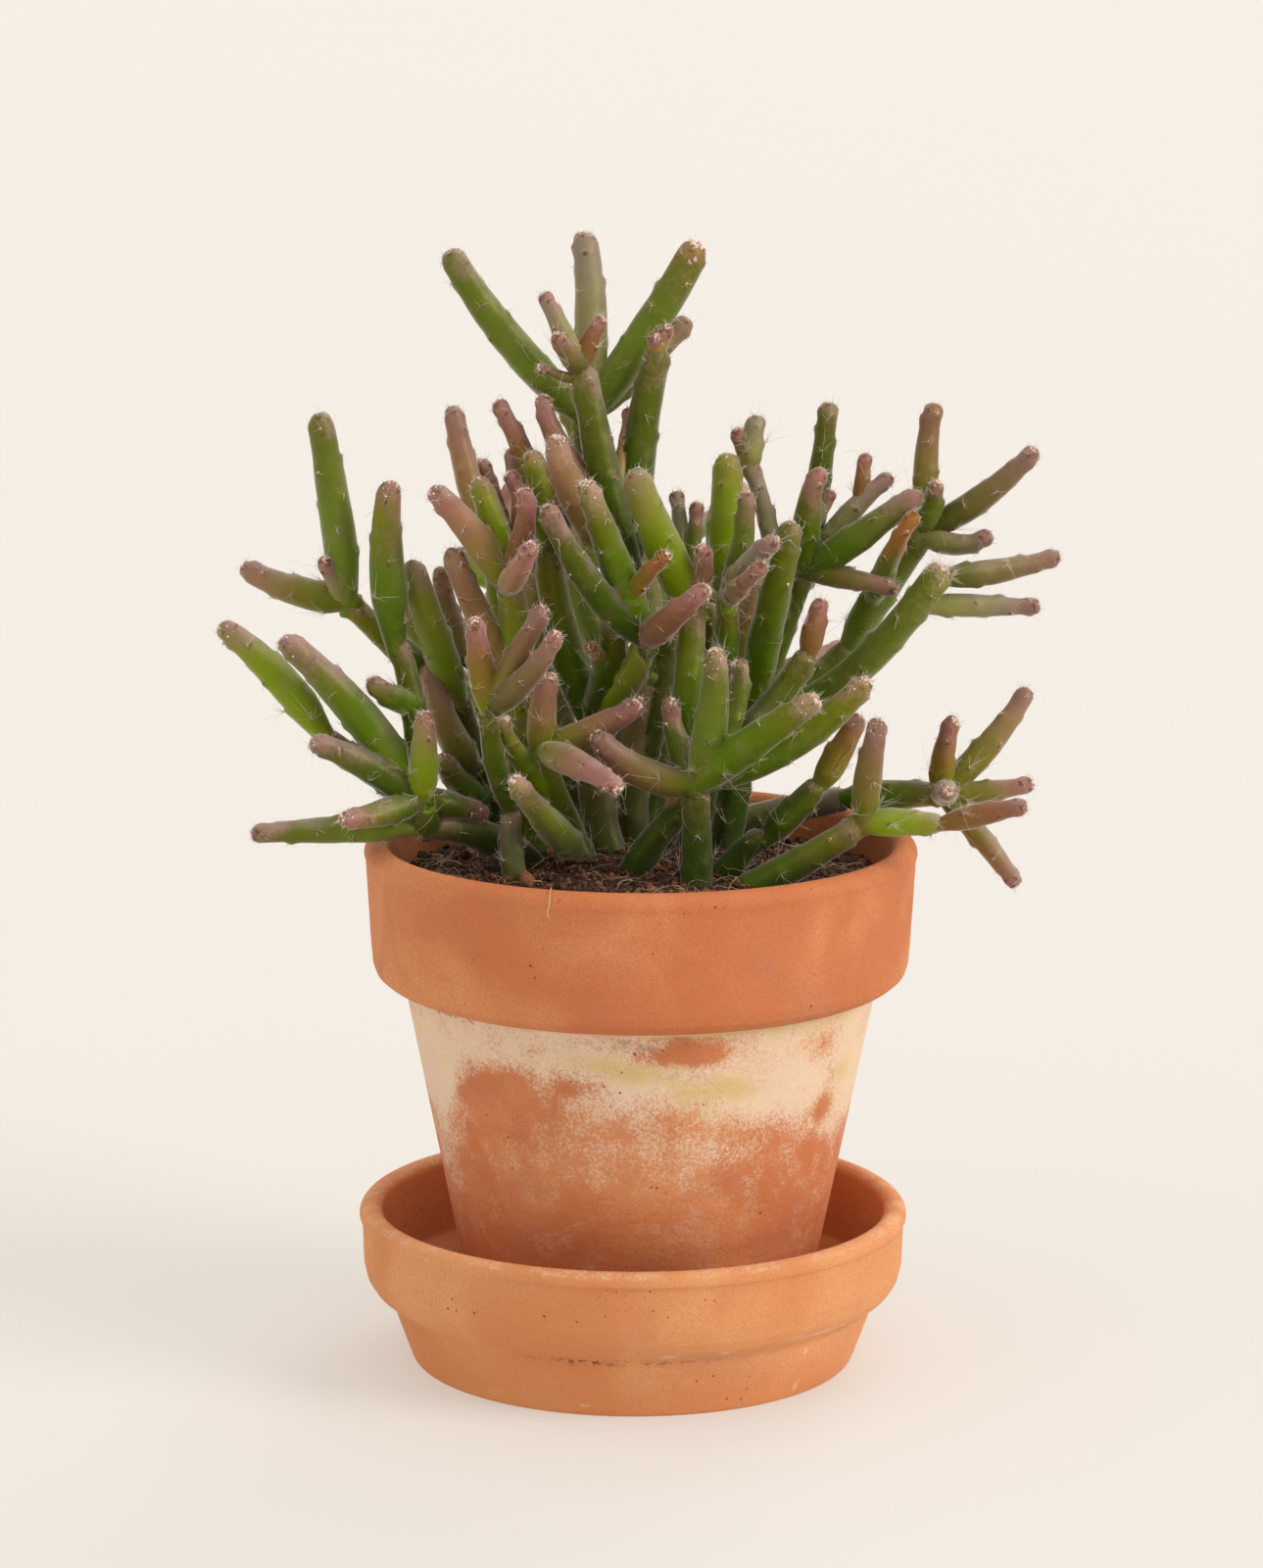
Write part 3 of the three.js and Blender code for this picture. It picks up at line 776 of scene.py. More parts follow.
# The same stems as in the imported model, in millimetres, with each segment's looks
STEMS: dict[str, tuple[Segment, ...]] = {
    "stem_front_left": (
        rooted((-29, -14), (-30, -14, 125), (-30, -13, 134), 6, Body.PALE, Tip.PLAIN),
        grown(0, 1, (-34, -16, 147), (-35, -20, 159), 5.5, Body.DEEP_AND_SHADED, Tip.PLAIN),
        grown(1, 1, (-37, -26, 173), (-38, -30, 182), 6.5, Body.TAWNY, Tip.PINK),
        grown(1, 1, (-29, -27, 172), (-22, -31, 185), 6, Body.OLIVE, Tip.MAUVE),
        grown(1, 1, (-26, -31, 169), (-19, -37, 180), 6, Body.BRONZE, Tip.PINK),
    ),
    "stem_front_centre": (
        rooted((-13, 8), (-19, 2, 132), (-23, -6, 147), 7, Body.LIME, Tip.PLAIN),
        grown(0, 0.1, (-22, -18, 133), (-29, -31, 145), 7.5, Body.LIME, Tip.FLUFFY),
        grown(0, 1, (-23, -8, 156), (-21, -12, 166), 7, Body.ROSY, Tip.FLUFFY),
        grown(0, 1, (-14, -29, 148), (-5, -46, 146), 7, Body.ROSY, Tip.PINK),
        grown(0, 0.55, (-29, -8, 147), (-32, -13, 156), 5.5, Body.LIME, Tip.FLUFFY),
        grown(0, 1, (-9, -12, 154), (0, -18, 161), 7, Body.ROSY, Tip.PINK),
    ),
    "stem_front_right": (
        rooted((13, -20), (13, -21, 130), (13, -22, 143), 7.5, Body.DEEP_AND_SHADED, Tip.PLAIN),
        grown(0, 1, (16, -26, 157), (17, -28, 175), 8, Body.MOSS, Tip.FLUFFY),
        grown(0, 1, (2, -21, 144), (-11, -22, 154), 7.5, Body.OLIVE, Tip.MAUVE),
        grown(0, 0.98, (26, -30, 154), (40, -36, 165), 8.5, Body.LEAF, Tip.FLUFFY),
        grown(0, 1, (35, -20, 152), (52, -22, 167), 8.5, Body.FERN, Tip.FLUFFY),
        grown(0, 0.95, (28, -12, 156), (39, -8, 171), 7.5, Body.DEEP_AND_SHADED, Tip.PLAIN),
        grown(5, 1, (40, -7, 176), (42, -6, 183), 5.5, Body.RUST, Tip.PINK),
        grown(0, 0.9, (8, -15, 152), (7, -15, 161), 6, Body.DEEP_AND_SHADED, Tip.PINK),
        grown(0, 0.98, (22, -17, 159), (22, -15, 170), 5, Body.MOSS, Tip.FLUFFY),
    ),
    "stem_middle": (
        rooted((-2, -6), (3, -8, 126), (11, -8, 135), 7.5, Body.DEEP_AND_SHADED, Tip.PLAIN),
        grown(0, 1, (11, -5, 159), (12, 0, 180), 8, Body.LEAF, Tip.PLAIN),
        grown(1, 1, (4, -8, 198), (-2, -12, 214), 9, Body.LIME, Tip.PLAIN),
        grown(1, 1, (14, -6, 189), (14, -10, 196), 6, Body.FAWN, Tip.PINK),
        grown(1, 1, (10, 6, 193), (8, 9, 206), 4, Body.PALE, Tip.PLAIN),
        grown(1, 1, (12, 4, 192), (13, 5, 204), 4.5, Body.MOSS, Tip.PINK),
    ),
    "stem_tall": (
        rooted((-7, 16), (-11, 18, 133), (-12, 15, 150), 8.5, Body.BRONZE, Tip.PLAIN),
        grown(0, 1, (-4, 4, 161), (1, -4, 173), 7.5, Body.LIME, Tip.PLAIN),
        grown(1, 1, (-6, -12, 192), (-13, -18, 212), 8, Body.LEAF, Tip.FLUFFY),
        grown(1, 1, (7, -20, 181), (15, -27, 189), 7, Body.RUST, Tip.PINK),
        grown(2, 0.3, (1, -16, 190), (6, -22, 196), 4.5, Body.TAWNY, Tip.ORANGE),
        grown(1, 1, (-11, -16, 187), (-22, -22, 207), 7, Body.DEEP_AND_SHADED, Tip.MAUVE),
        grown(1, 1, (-6, 0, 198), (-14, 4, 236), 8.5, Body.DEEP_AND_SHADED, Tip.PLAIN),
        grown(6, 0.97, (-18, 3, 243), (-23, 2, 253), 5, Body.PALE, Tip.PINK),
        grown(6, 1, (-12, 4, 242), (-9, 4, 247), 5, Body.RUST, Tip.PINK),
        grown(6, 0.98, (-17, 1, 239), (-20, -1, 244), 5, Body.BRONZE, Tip.PINK),
        grown(6, 0.95, (-19, 2, 234), (-24, 0, 236), 2.5, Body.BRONZE, Tip.PINK),
        grown(6, 0.42, (-15, -6, 206), (-20, -8, 221), 8.5, Body.FAWN, Tip.FLUFFY),
        grown(6, 0.5, (-18, 3, 215), (-23, 5, 229), 6.5, Body.RUST, Tip.PINK),
        grown(6, 0.42, (-11, 12, 208), (-13, 16, 222), 8, Body.DEEP_AND_SHADED, Tip.PLAIN),
        grown(13, 1, (-31, 12, 241), (-45, 10, 262), 8, Body.MOSS, Tip.PLAIN),
        grown(13, 1, (-12, 21, 244), (-14, 25, 265), 8, Body.PALE, Tip.PLAIN),
        grown(13, 1, (2, 18, 244), (13, 18, 263), 8.5, Body.MOSS, Tip.BUDDED),
        grown(13, 1, (-1, 22, 233), (11, 28, 244), 6.5, Body.BRONZE, Tip.PLAIN),
        grown(6, 0.3, (-1, 8, 213), (4, 8, 240), 8.5, Body.DEEP_AND_SHADED, Tip.PLAIN),
        grown(18, 0.97, (5, 8, 242), (6, 7, 245), 3.5, Body.ROSY, Tip.PINK),
        grown(18, 0.97, (3, 7, 241), (3, 5, 243), 3.5, Body.ROSY, Tip.PINK),
        grown(6, 0.55, (-5, 6, 213), (-3, 12, 225), 3, Body.ROSY, Tip.PINK),
        grown(6, 0.5, (-4, 8, 210), (-3, 15, 222), 3, Body.RUST, Tip.PINK),
        grown(0, 1, (-19, 13, 173), (-22, 10, 193), 8.5, Body.FERN, Tip.PLAIN),
        grown(23, 1, (-19, 4, 200), (-19, 2, 206), 6.5, Body.BRONZE, Tip.MAUVE),
        grown(23, 1, (-27, 8, 213), (-34, 8, 227), 6, Body.TAWNY, Tip.PINK),
        grown(23, 1, (-23, 4, 205), (-26, 3, 216), 7.5, Body.LIME, Tip.FLUFFY),
        grown(23, 0.98, (-29, 8, 206), (-30, 8, 216), 4, Body.PALE, Tip.PINK),
        grown(0, 1, (-7, 2, 168), (-8, -4, 182), 8, Body.DEEP_AND_SHADED, Tip.MAUVE),
        grown(28, 0.35, (-10, -1, 168), (-12, -8, 172), 4.5, Body.FERN, Tip.ORANGE),
    ),
    "stem_left": (
        rooted((-25, 20), (-27, 18, 134), (-29, 8, 158), 8.5, Body.LIME, Tip.PLAIN),
        grown(0, 1, (-29, 0, 173), (-31, -6, 186), 8.5, Body.LIME, Tip.PLAIN),
        grown(1, 1, (-39, -12, 199), (-48, -18, 210), 7.5, Body.ROSY, Tip.MAUVE),
        grown(1, 0.98, (-34, -6, 199), (-38, -6, 211), 7.5, Body.LIME, Tip.MAUVE),
        grown(1, 1, (-27, -14, 200), (-27, -16, 210), 6, Body.RUST, Tip.PINK),
        grown(1, 1, (-29, -18, 190), (-25, -29, 199), 6, Body.ROSY, Tip.PINK),
        grown(1, 0.95, (-28, -4, 202), (-31, -4, 212), 5, Body.RUST, Tip.PINK),
        grown(1, 0.9, (-39, 4, 205), (-44, 8, 226), 7, Body.FAWN, Tip.MAUVE),
        grown(1, 0.9, (-34, 6, 202), (-38, 10, 213), 5.5, Body.OLIVE, Tip.FLUFFY),
        grown(0, 0.97, (-40, -6, 184), (-44, -10, 195), 7, Body.FAWN, Tip.PLAIN),
        grown(0, 0.95, (-43, 19, 170), (-47, 21, 186), 6.5, Body.BRONZE, Tip.MAUVE),
    ),
    "stem_left_arm": (
        rooted((-33, 30), (-38, 28, 132), (-44, 20, 156), 8, Body.DEEP_AND_SHADED, Tip.PLAIN),
        grown(0, 1, (-56, 12, 167), (-69, 8, 180), 7, Body.FERN, Tip.PLAIN),
        grown(1, 1, (-71, 4, 200), (-75, 2, 225), 8, Body.MOSS, Tip.PLAIN),
        grown(1, 1, (-72, 5, 186), (-74, 2, 191), 5, Body.PALE, Tip.PINK),
        grown(1, 1, (-82, 12, 182), (-94, 16, 187), 7.5, Body.BLUSHED, Tip.MAUVE),
        grown(0, 0.97, (-49, 5, 174), (-54, 4, 190), 8, Body.LIME, Tip.PLAIN),
        grown(0, 0.6, (-46, 14, 149), (-50, 12, 165), 7.5, Body.BLUSHED, Tip.MAUVE),
        grown(0, 0.35, (-43, 20, 134), (-47, 14, 142), 7, Body.GRASS, Tip.PLAIN),
    ),
    "stem_over_rim": (
        rooted((-26, 5), (-38, -5, 127), (-53, -13, 130), 8, Body.DEEP_AND_SHADED, Tip.PLAIN),
        grown(0, 1, (-71, -15, 130), (-90, -20, 130), 6.5, Body.MOSS, Tip.MAUVE),
        grown(0, 0.9, (-50, -13, 133), (-51, -14, 137), 7, Body.DEEP_AND_SHADED, Tip.PLAIN),
        grown(2, 1, (-64, -10, 144), (-74, -8, 151), 7, Body.DEEP_AND_SHADED, Tip.PLAIN),
        grown(3, 1, (-85, -6, 165), (-98, -4, 176), 8, Body.LIME, Tip.MAUVE),
        grown(2, 1, (-66, -14, 158), (-83, -16, 175), 9, Body.LEAF, Tip.MAUVE),
        grown(2, 1, (-64, -18, 146), (-76, -22, 152), 7.5, Body.DEEP_AND_SHADED, Tip.MAUVE),
        grown(2, 1, (-50, -19, 149), (-50, -22, 159), 7, Body.LIME, Tip.PINK),
        grown(2, 1, (-61, -22, 135), (-69, -28, 135), 6.5, Body.FERN, Tip.PINK),
        grown(2, 1, (-44, -11, 135), (-36, -7, 132), 6.5, Body.DEEP_AND_SHADED, Tip.PINK),
        grown(2, 1, (-53, -8, 158), (-57, -6, 173), 6.5, Body.DEEP_AND_SHADED, Tip.PLAIN),
        grown(10, 1, (-59, -5, 192), (-58, -4, 210), 8.5, Body.FERN, Tip.MAUVE),
        grown(10, 0.5, (-58, -12, 161), (-63, -14, 165), 6, Body.LEAF, Tip.MAUVE),
    ),
    "stem_right_arm": (
        rooted((20, 22), (23, 22, 136), (26, 20, 151), 8, Body.DEEP_AND_SHADED, Tip.PLAIN),
        grown(0, 1, (30, 8, 176), (35, 0, 200), 8, Body.LEAF, Tip.PLAIN),
        grown(0, 1, (31, 22, 163), (39, 22, 185), 5.5, Body.MOSS, Tip.PLAIN),
        grown(2, 1, (42, 24, 207), (44, 25, 225), 6, Body.DEEP_AND_SHADED, Tip.PLAIN),
        grown(2, 1, (39, 14, 200), (42, 12, 211), 7, Body.LEAF, Tip.PINK),
        grown(4, 0.3, (42, 17, 200), (45, 17, 205), 3.5, Body.PALE, Tip.PINK),
        grown(2, 1, (52, 10, 196), (65, 8, 206), 7.5, Body.GRASS, Tip.MAUVE),
        grown(2, 1, (49, 20, 199), (59, 21, 208), 5.5, Body.PALE, Tip.MAUVE),
        grown(7, 0.62, (52, 21, 207), (53, 23, 213), 4, Body.RUST, Tip.PINK),
        grown(2, 1, (49, 12, 185), (60, 8, 183), 5.5, Body.BLUSHED, Tip.MAUVE),
        grown(2, 0.7, (30, 16, 196), (25, 14, 212), 5, Body.PALE, Tip.PLAIN),
        grown(10, 0.97, (26, 15, 217), (27, 16, 223), 5.5, Body.PALE, Tip.PLAIN),
        grown(10, 0.95, (24, 15, 215), (22, 15, 220), 4.5, Body.BRONZE, Tip.PINK),
        grown(0, 1, (37, 24, 155), (50, 26, 167), 7.5, Body.MOSS, Tip.PLAIN),
        grown(13, 1, (56, 22, 179), (67, 17, 196), 8, Body.MOSS, Tip.PLAIN),
        grown(14, 0.4, (59, 6, 193), (64, 2, 202), 5.5, Body.MOSS, Tip.ORANGE),
        grown(14, 1, (67, 20, 212), (69, 23, 225), 6, Body.OLIVE, Tip.PLAIN),
        grown(14, 1, (80, 14, 204), (92, 10, 216), 6.5, Body.BRONZE, Tip.MAUVE),
        grown(14, 1, (68, 14, 202), (69, 10, 208), 5.5, Body.MOSS, Tip.PINK),
        grown(14, 0.97, (74, 13, 193), (82, 10, 196), 5.5, Body.PALE, Tip.MAUVE),
        grown(0, 1, (46, 8, 160), (70, -2, 190), 8, Body.MOSS, Tip.SHAGGY),
        grown(20, 0.97, (84, 6, 188), (98, 10, 191), 6, Body.BRONZE, Tip.MAUVE),
        grown(20, 0.88, (80, 3, 180), (93, 2, 180), 5.5, Body.PALE, Tip.MAUVE),
    ),
    "stem_upright_right": (
        rooted((11, 14), (16, 12, 140), (19, 9, 164), 7, Body.DEEP_AND_SHADED, Tip.PLAIN),
        grown(0, 1, (20, 8, 172), (20, 6, 181), 6.5, Body.FERN, Tip.PLAIN),
        grown(1, 1, (20, 8, 197), (20, 8, 215), 8.5, Body.LIME, Tip.PLAIN),
        grown(1, 1, (23, -4, 194), (24, -6, 208), 6, Body.MOSS, Tip.MAUVE),
        grown(1, 1, (25, -12, 192), (31, -20, 199), 6.5, Body.PALE, Tip.MAUVE),
        grown(1, 1, (24, -18, 189), (28, -25, 194), 5, Body.TAWNY, Tip.MAUVE),
    ),
    "stem_low_right": (
        rooted((25, -18), (38, -23, 125), (51, -29, 135), 7.5, Body.LIME, Tip.PLAIN),
        grown(0, 1, (60, -30, 135), (69, -31, 135), 6.5, Body.LIME, Tip.PLAIN),
        grown(1, 1, (79, -33, 138), (88, -35, 140), 5.5, Body.RUST, Tip.MAUVE),
        grown(0, 1, (52, -32, 147), (54, -34, 160), 6.5, Body.OLIVE, Tip.MAUVE),
    ),
    "stem_right_leaning": (
        rooted((19, -8), (24, -9, 124), (30, -10, 128), 7, Body.DEEP_AND_SHADED, Tip.PLAIN),
        grown(0, 1, (36, -9, 134), (42, -8, 140), 7, Body.DEEP_AND_SHADED, Tip.PLAIN),
        grown(1, 1, (46, -8, 147), (51, -8, 156), 6.5, Body.TAWNY, Tip.MAUVE),
    ),
    "stem_back_right_low": (
        rooted((11, 38), (30, 36, 123), (50, 24, 130), 7.5, Body.PALE, Tip.PLAIN),
        grown(0, 1, (61, 18, 132), (71, 14, 133), 7.5, Body.GRASS, Tip.PLAIN),
        grown(1, 1, (72, 6, 135), (72, -2, 137), 6, Body.PALE, Tip.FLUFFY),
        grown(1, 1, (72, 12, 145), (74, 10, 152), 6, Body.TAWNY, Tip.PINK),
        grown(1, 1, (84, 18, 146), (92, 22, 157), 6.5, Body.BLUSHED, Tip.MAUVE),
        grown(1, 1, (84, 14, 134), (93, 14, 136), 5.5, Body.BLUSHED, Tip.PINK),
        grown(1, 1, (80, 10, 124), (89, 4, 113), 5.5, Body.BLUSHED, Tip.MAUVE),
    ),
    "stem_back_left": (
        rooted((-14, 40), (-18, 46, 136), (-20, 52, 154), 7.4, Body.DEEP_AND_SHADED, Tip.PLAIN),
        grown(0, 1, (-27, 62, 166), (-30, 76, 174), 7, Body.LEAF, Tip.PLAIN),
        grown(0, 1, (-20, 58, 174), (-14, 64, 190), 7.2, Body.LEAF, Tip.PLAIN),
        grown(0, 1, (-32, 50, 168), (-35, 46, 186), 7, Body.LEAF, Tip.MAUVE),
        grown(1, 1, (-34, 86, 184), (-32, 92, 196), 6.2, Body.OLIVE, Tip.PINK),
        grown(1, 1, (-38, 82, 174), (-46, 88, 180), 6, Body.LIME, Tip.MAUVE),
        grown(2, 1, (-14, 72, 206), (-20, 76, 218), 6.4, Body.LEAF, Tip.MAUVE),
        grown(2, 1, (-6, 70, 202), (2, 76, 210), 6, Body.RUST, Tip.PINK),
        grown(0, 1, (-12, 62, 160), (-8, 74, 164), 6.4, Body.LEAF, Tip.MAUVE),
        grown(2, 0.97, (-23, 72, 198), (-28, 80, 206), 6, Body.OLIVE, Tip.PINK),
        grown(0, 1, (-25, 49, 172), (-26, 48, 190), 6.6, Body.BLUSHED, Tip.PLAIN),
    ),
    "stem_back_centre": (
        rooted((1, 47), (5, 52, 136), (8, 56, 152), 7.6, Body.DEEP_AND_SHADED, Tip.PLAIN),
        grown(0, 1, (5, 66, 170), (4, 80, 182), 7.2, Body.LEAF, Tip.PLAIN),
        grown(0, 1, (15, 61, 166), (18, 64, 186), 7.2, Body.LEAF, Tip.PLAIN),
        grown(0, 1, (8, 76, 156), (4, 92, 166), 6.8, Body.LEAF, Tip.PINK),
        grown(2, 1, (20, 62, 196), (20, 62, 202), 6.4, Body.LEAF, Tip.MAUVE),
        grown(2, 1, (23, 72, 194), (24, 80, 197), 6.2, Body.OLIVE, Tip.PINK),
        grown(1, 1, (-4, 90, 192), (-8, 94, 204), 6, Body.BRONZE, Tip.MAUVE),
        grown(1, 1, (12, 88, 184), (18, 95, 188), 6, Body.LEAF, Tip.MAUVE),
        grown(3, 1, (-2, 102, 160), (-6, 108, 151), 6, Body.BRONZE, Tip.MAUVE),
        grown(3, 1, (11, 100, 169), (15, 106, 178), 6, Body.LEAF, Tip.PINK),
    ),
    "stem_back_right": (
        rooted((22, 46), (21, 49, 132), (23, 51, 149), 7.4, Body.DEEP_AND_SHADED, Tip.PLAIN),
        grown(0, 1, (32, 62, 160), (35, 76, 169), 7, Body.LEAF, Tip.PLAIN),
        grown(0, 1, (25, 50, 165), (29, 51, 180), 7, Body.BLUSHED, Tip.PLAIN),
        grown(0, 1, (38, 56, 156), (50, 63, 160), 6.4, Body.OLIVE, Tip.PINK),
        grown(1, 1, (42, 88, 176), (44, 94, 188), 6.2, Body.BRONZE, Tip.MAUVE),
        grown(1, 1, (28, 86, 178), (22, 90, 180), 6, Body.RUST, Tip.PINK),
        grown(2, 1, (33, 56, 186), (34, 60, 189), 6, Body.LEAF, Tip.PLAIN),
        grown(0, 1, (18, 50, 160), (17, 49, 173), 6.4, Body.DEEP_AND_SHADED, Tip.PLAIN),
    ),
    "stem_back_low": (
        rooted((-28, 38), (-29, 44, 131), (-33, 56, 140), 7.2, Body.DEEP_AND_SHADED, Tip.PLAIN),
        grown(0, 1, (-39, 72, 146), (-44, 88, 144), 7, Body.LEAF, Tip.PLAIN),
        grown(0, 1, (-43, 62, 150), (-53, 67, 160), 6.4, Body.LEAF, Tip.MAUVE),
        grown(1, 1, (-50, 98, 138), (-54, 108, 130), 6, Body.BRONZE, Tip.MAUVE),
        grown(1, 1, (-38, 98, 148), (-34, 106, 158), 6, Body.OLIVE, Tip.PINK),
        grown(0, 0.9, (-26, 66, 146), (-20, 78, 150), 6.2, Body.LEAF, Tip.MAUVE),
        grown(2, 1, (-58, 70, 168), (-60, 72, 177), 6, Body.OLIVE, Tip.PINK),
    ),
    "stem_back_tall": (
        rooted((-2, 28), (-2, 33, 140), (1, 37, 158), 8.5, Body.BRONZE, Tip.PLAIN),
        grown(0, 1, (-12, 40, 170), (-12, 44, 189), 8, Body.MOSS, Tip.PLAIN),
        grown(0, 1, (2, 44, 170), (1, 50, 182), 7.2, Body.FERN, Tip.PLAIN),
        grown(1, 1, (-16, 45, 200), (-18, 43, 208), 6.2, Body.OLIVE, Tip.PINK),
        grown(1, 1, (-9, 53, 198), (-6, 60, 206), 6, Body.BRONZE, Tip.MAUVE),
        grown(2, 1, (0, 56, 188), (-3, 60, 195), 6.2, Body.LEAF, Tip.MAUVE),
        grown(0, 0.3, (4, 37, 150), (6, 41, 170), 7.6, Body.DEEP_AND_SHADED, Tip.PLAIN),
        grown(0, 0.15, (-8, 36, 146), (-9, 40, 160), 7, Body.DEEP_AND_SHADED, Tip.PLAIN),
    ),
}


def strands(lines: Array, widths: Array, rng: Random) -> Shell:
    """Fine three-sided strands that end in a point, such as bristles and fibres.

    Args:
        lines: The points that each strand runs through: strand, point, coordinate.
        widths: How far the strand's skin is from its line at each point but the last.
        rng: Source of the way that each strand is turned.

    Returns:
        A shell of closed strands.
    """
    count, steps = lines.shape[:2]
    onward = unit(np.gradient(lines, axis=1))
    across = unit(np.cross(onward, rng.normal(size=(count, 1, 3))))
    spokes = turned(across[:, :, None], onward[:, :, None], np.radians([0, 120, 240])[:, None])
    rings = (lines[:, :-1, None] + spokes[:, :-1] * widths[:, :, None, None]).reshape(count, -1, 3)
    points = np.concatenate([rings, lines[:, -1:]], axis=1)
    corner = np.arange(steps * 3 - 3).reshape(steps - 1, 3)
    after = np.roll(corner, -1, axis=1)
    sides = np.stack([corner[:-1], after[:-1], after[1:], corner[1:]], axis=-1).reshape(-1, 4)
    point = np.full(3, steps * 3 - 3)
    ends = np.vstack([corner[0, ::-1], np.stack([corner[-1], after[-1], point], axis=-1)])
    starts = (np.arange(count) * points.shape[1])[:, None, None]
    return Shell(points.reshape(-1, 3), [(sides + starts).reshape(-1, 4), (ends + starts).reshape(-1, 3)])


def lumps(centres: Array, sizes: Array, rng: Random, rough: float) -> Shell:
    """Small lumps of twenty faces, each of its own shape.

    Args:
        centres: The middle of each.
        sizes: How far it reaches from its middle.
        rng: Source of the shapes.
        rough: How uneven a lump is, as a share of its size.

    Returns:
        A shell of closed lumps.
    """
    kit = bmesh.new()
    bmesh.ops.create_icosphere(kit, subdivisions=1, radius=1)
    round_corners = np.array([corner.co for corner in kit.verts])
    round_faces = np.array([[corner.index for corner in face.verts] for face in kit.faces])
    kit.free()
    count = len(centres)
    shapes = round_corners * (1 + rough * rng.normal(size=(count, len(round_corners), 1)))
    shapes = shapes * rng.uniform(0.6, 1.2, (count, 1, 3))
    turned_by = np.linalg.qr(rng.normal(size=(count, 3, 3)))[0]
    turned_by[:, :, 0] *= np.linalg.det(turned_by)[:, None]
    shapes = np.einsum("nij,nvj->nvi", turned_by, shapes)
    points = centres[:, None] + shapes * sizes[:, None, None]
    starts = (np.arange(count) * len(round_corners))[:, None, None]
    return Shell(points.reshape(-1, 3), [(round_faces + starts).reshape(-1, 3)])


@dataclass(frozen=True)
class Areoles:
    """The places on a segment that hairs grow from: where they are, the ways out of the skin
    and along it, how thick the segment is there, and which are close to the joint."""

    points: Array
    outward: Array
    onward: Array
    radii: Array
    at_joint: Array


@dataclass(frozen=True)
class Cap:
    """The rounded end of a segment: its middle, the way it points, how long and wide it is."""

    middle: Array
    onward: Array
    sideways: Array
    length: float
    width: float

    def scattered(self, count: int, reach: float, rng: Random) -> tuple[Array, Array]:
        """Pick places on the cap, thickest round its tip.

        Args:
            count: How many places.
            reach: How far from the tip they go, in degrees.
            rng: Source of the places.

        Returns:
            The places, and for each the way out of the cap.
        """
        lean = np.radians(reach) * np.sqrt(rng.uniform(0, 1, (count, 1)))
        spoke = turned(self.sideways, self.onward, rng.uniform(0, FULL_TURN, (count, 1)))
        ahead = self.onward * self.length * np.cos(lean)
        places = self.middle + ahead + spoke * self.width * np.sin(lean) ** CAP_POWER
        return places, unit(self.onward * np.cos(lean) + spoke * np.sin(lean))


@dataclass(frozen=True)
class Rings:
    """The plain rings that a segment's skin follows: for each ring how far along the segment
    it is, its middle, the ways onward and sideways, and its radius; and the segment's length,
    the length of its rounded end and the number of rings before that end."""

    heights: Array
    centres: Array
    onward: Array
    sideways: Array
    radii: Array
    length: float
    cap_length: float
    before_cap: int

    def cap(self) -> Cap:
        """Give the rounded end."""
        first = self.before_cap
        return Cap(
            self.centres[first], self.onward[-1], self.sideways[-1], self.cap_length, float(self.radii[first])
        )

    def areoles(self, spots: Array, raised: float, joint: float) -> Areoles:
        """Place a segment's areoles on its skin.

        Args:
            spots: For each areole, how far along the segment and how far round it is.
            raised: How far above the rings they sit.
            joint: How far from the first one an areole still counts as close to the joint.

        Returns:
            The areoles.
        """
        at = np.clip(np.searchsorted(self.heights, spots[:, 0]), 0, len(self.heights) - 1)
        outward = turned(self.sideways[at], self.onward[at], spots[:, 1:])
        places = self.centres[at] + outward * (self.radii[at] + raised)[:, None]
        return Areoles(places, outward, self.onward[at], self.radii[at], spots[:, 0] - spots[0, 0] < joint)


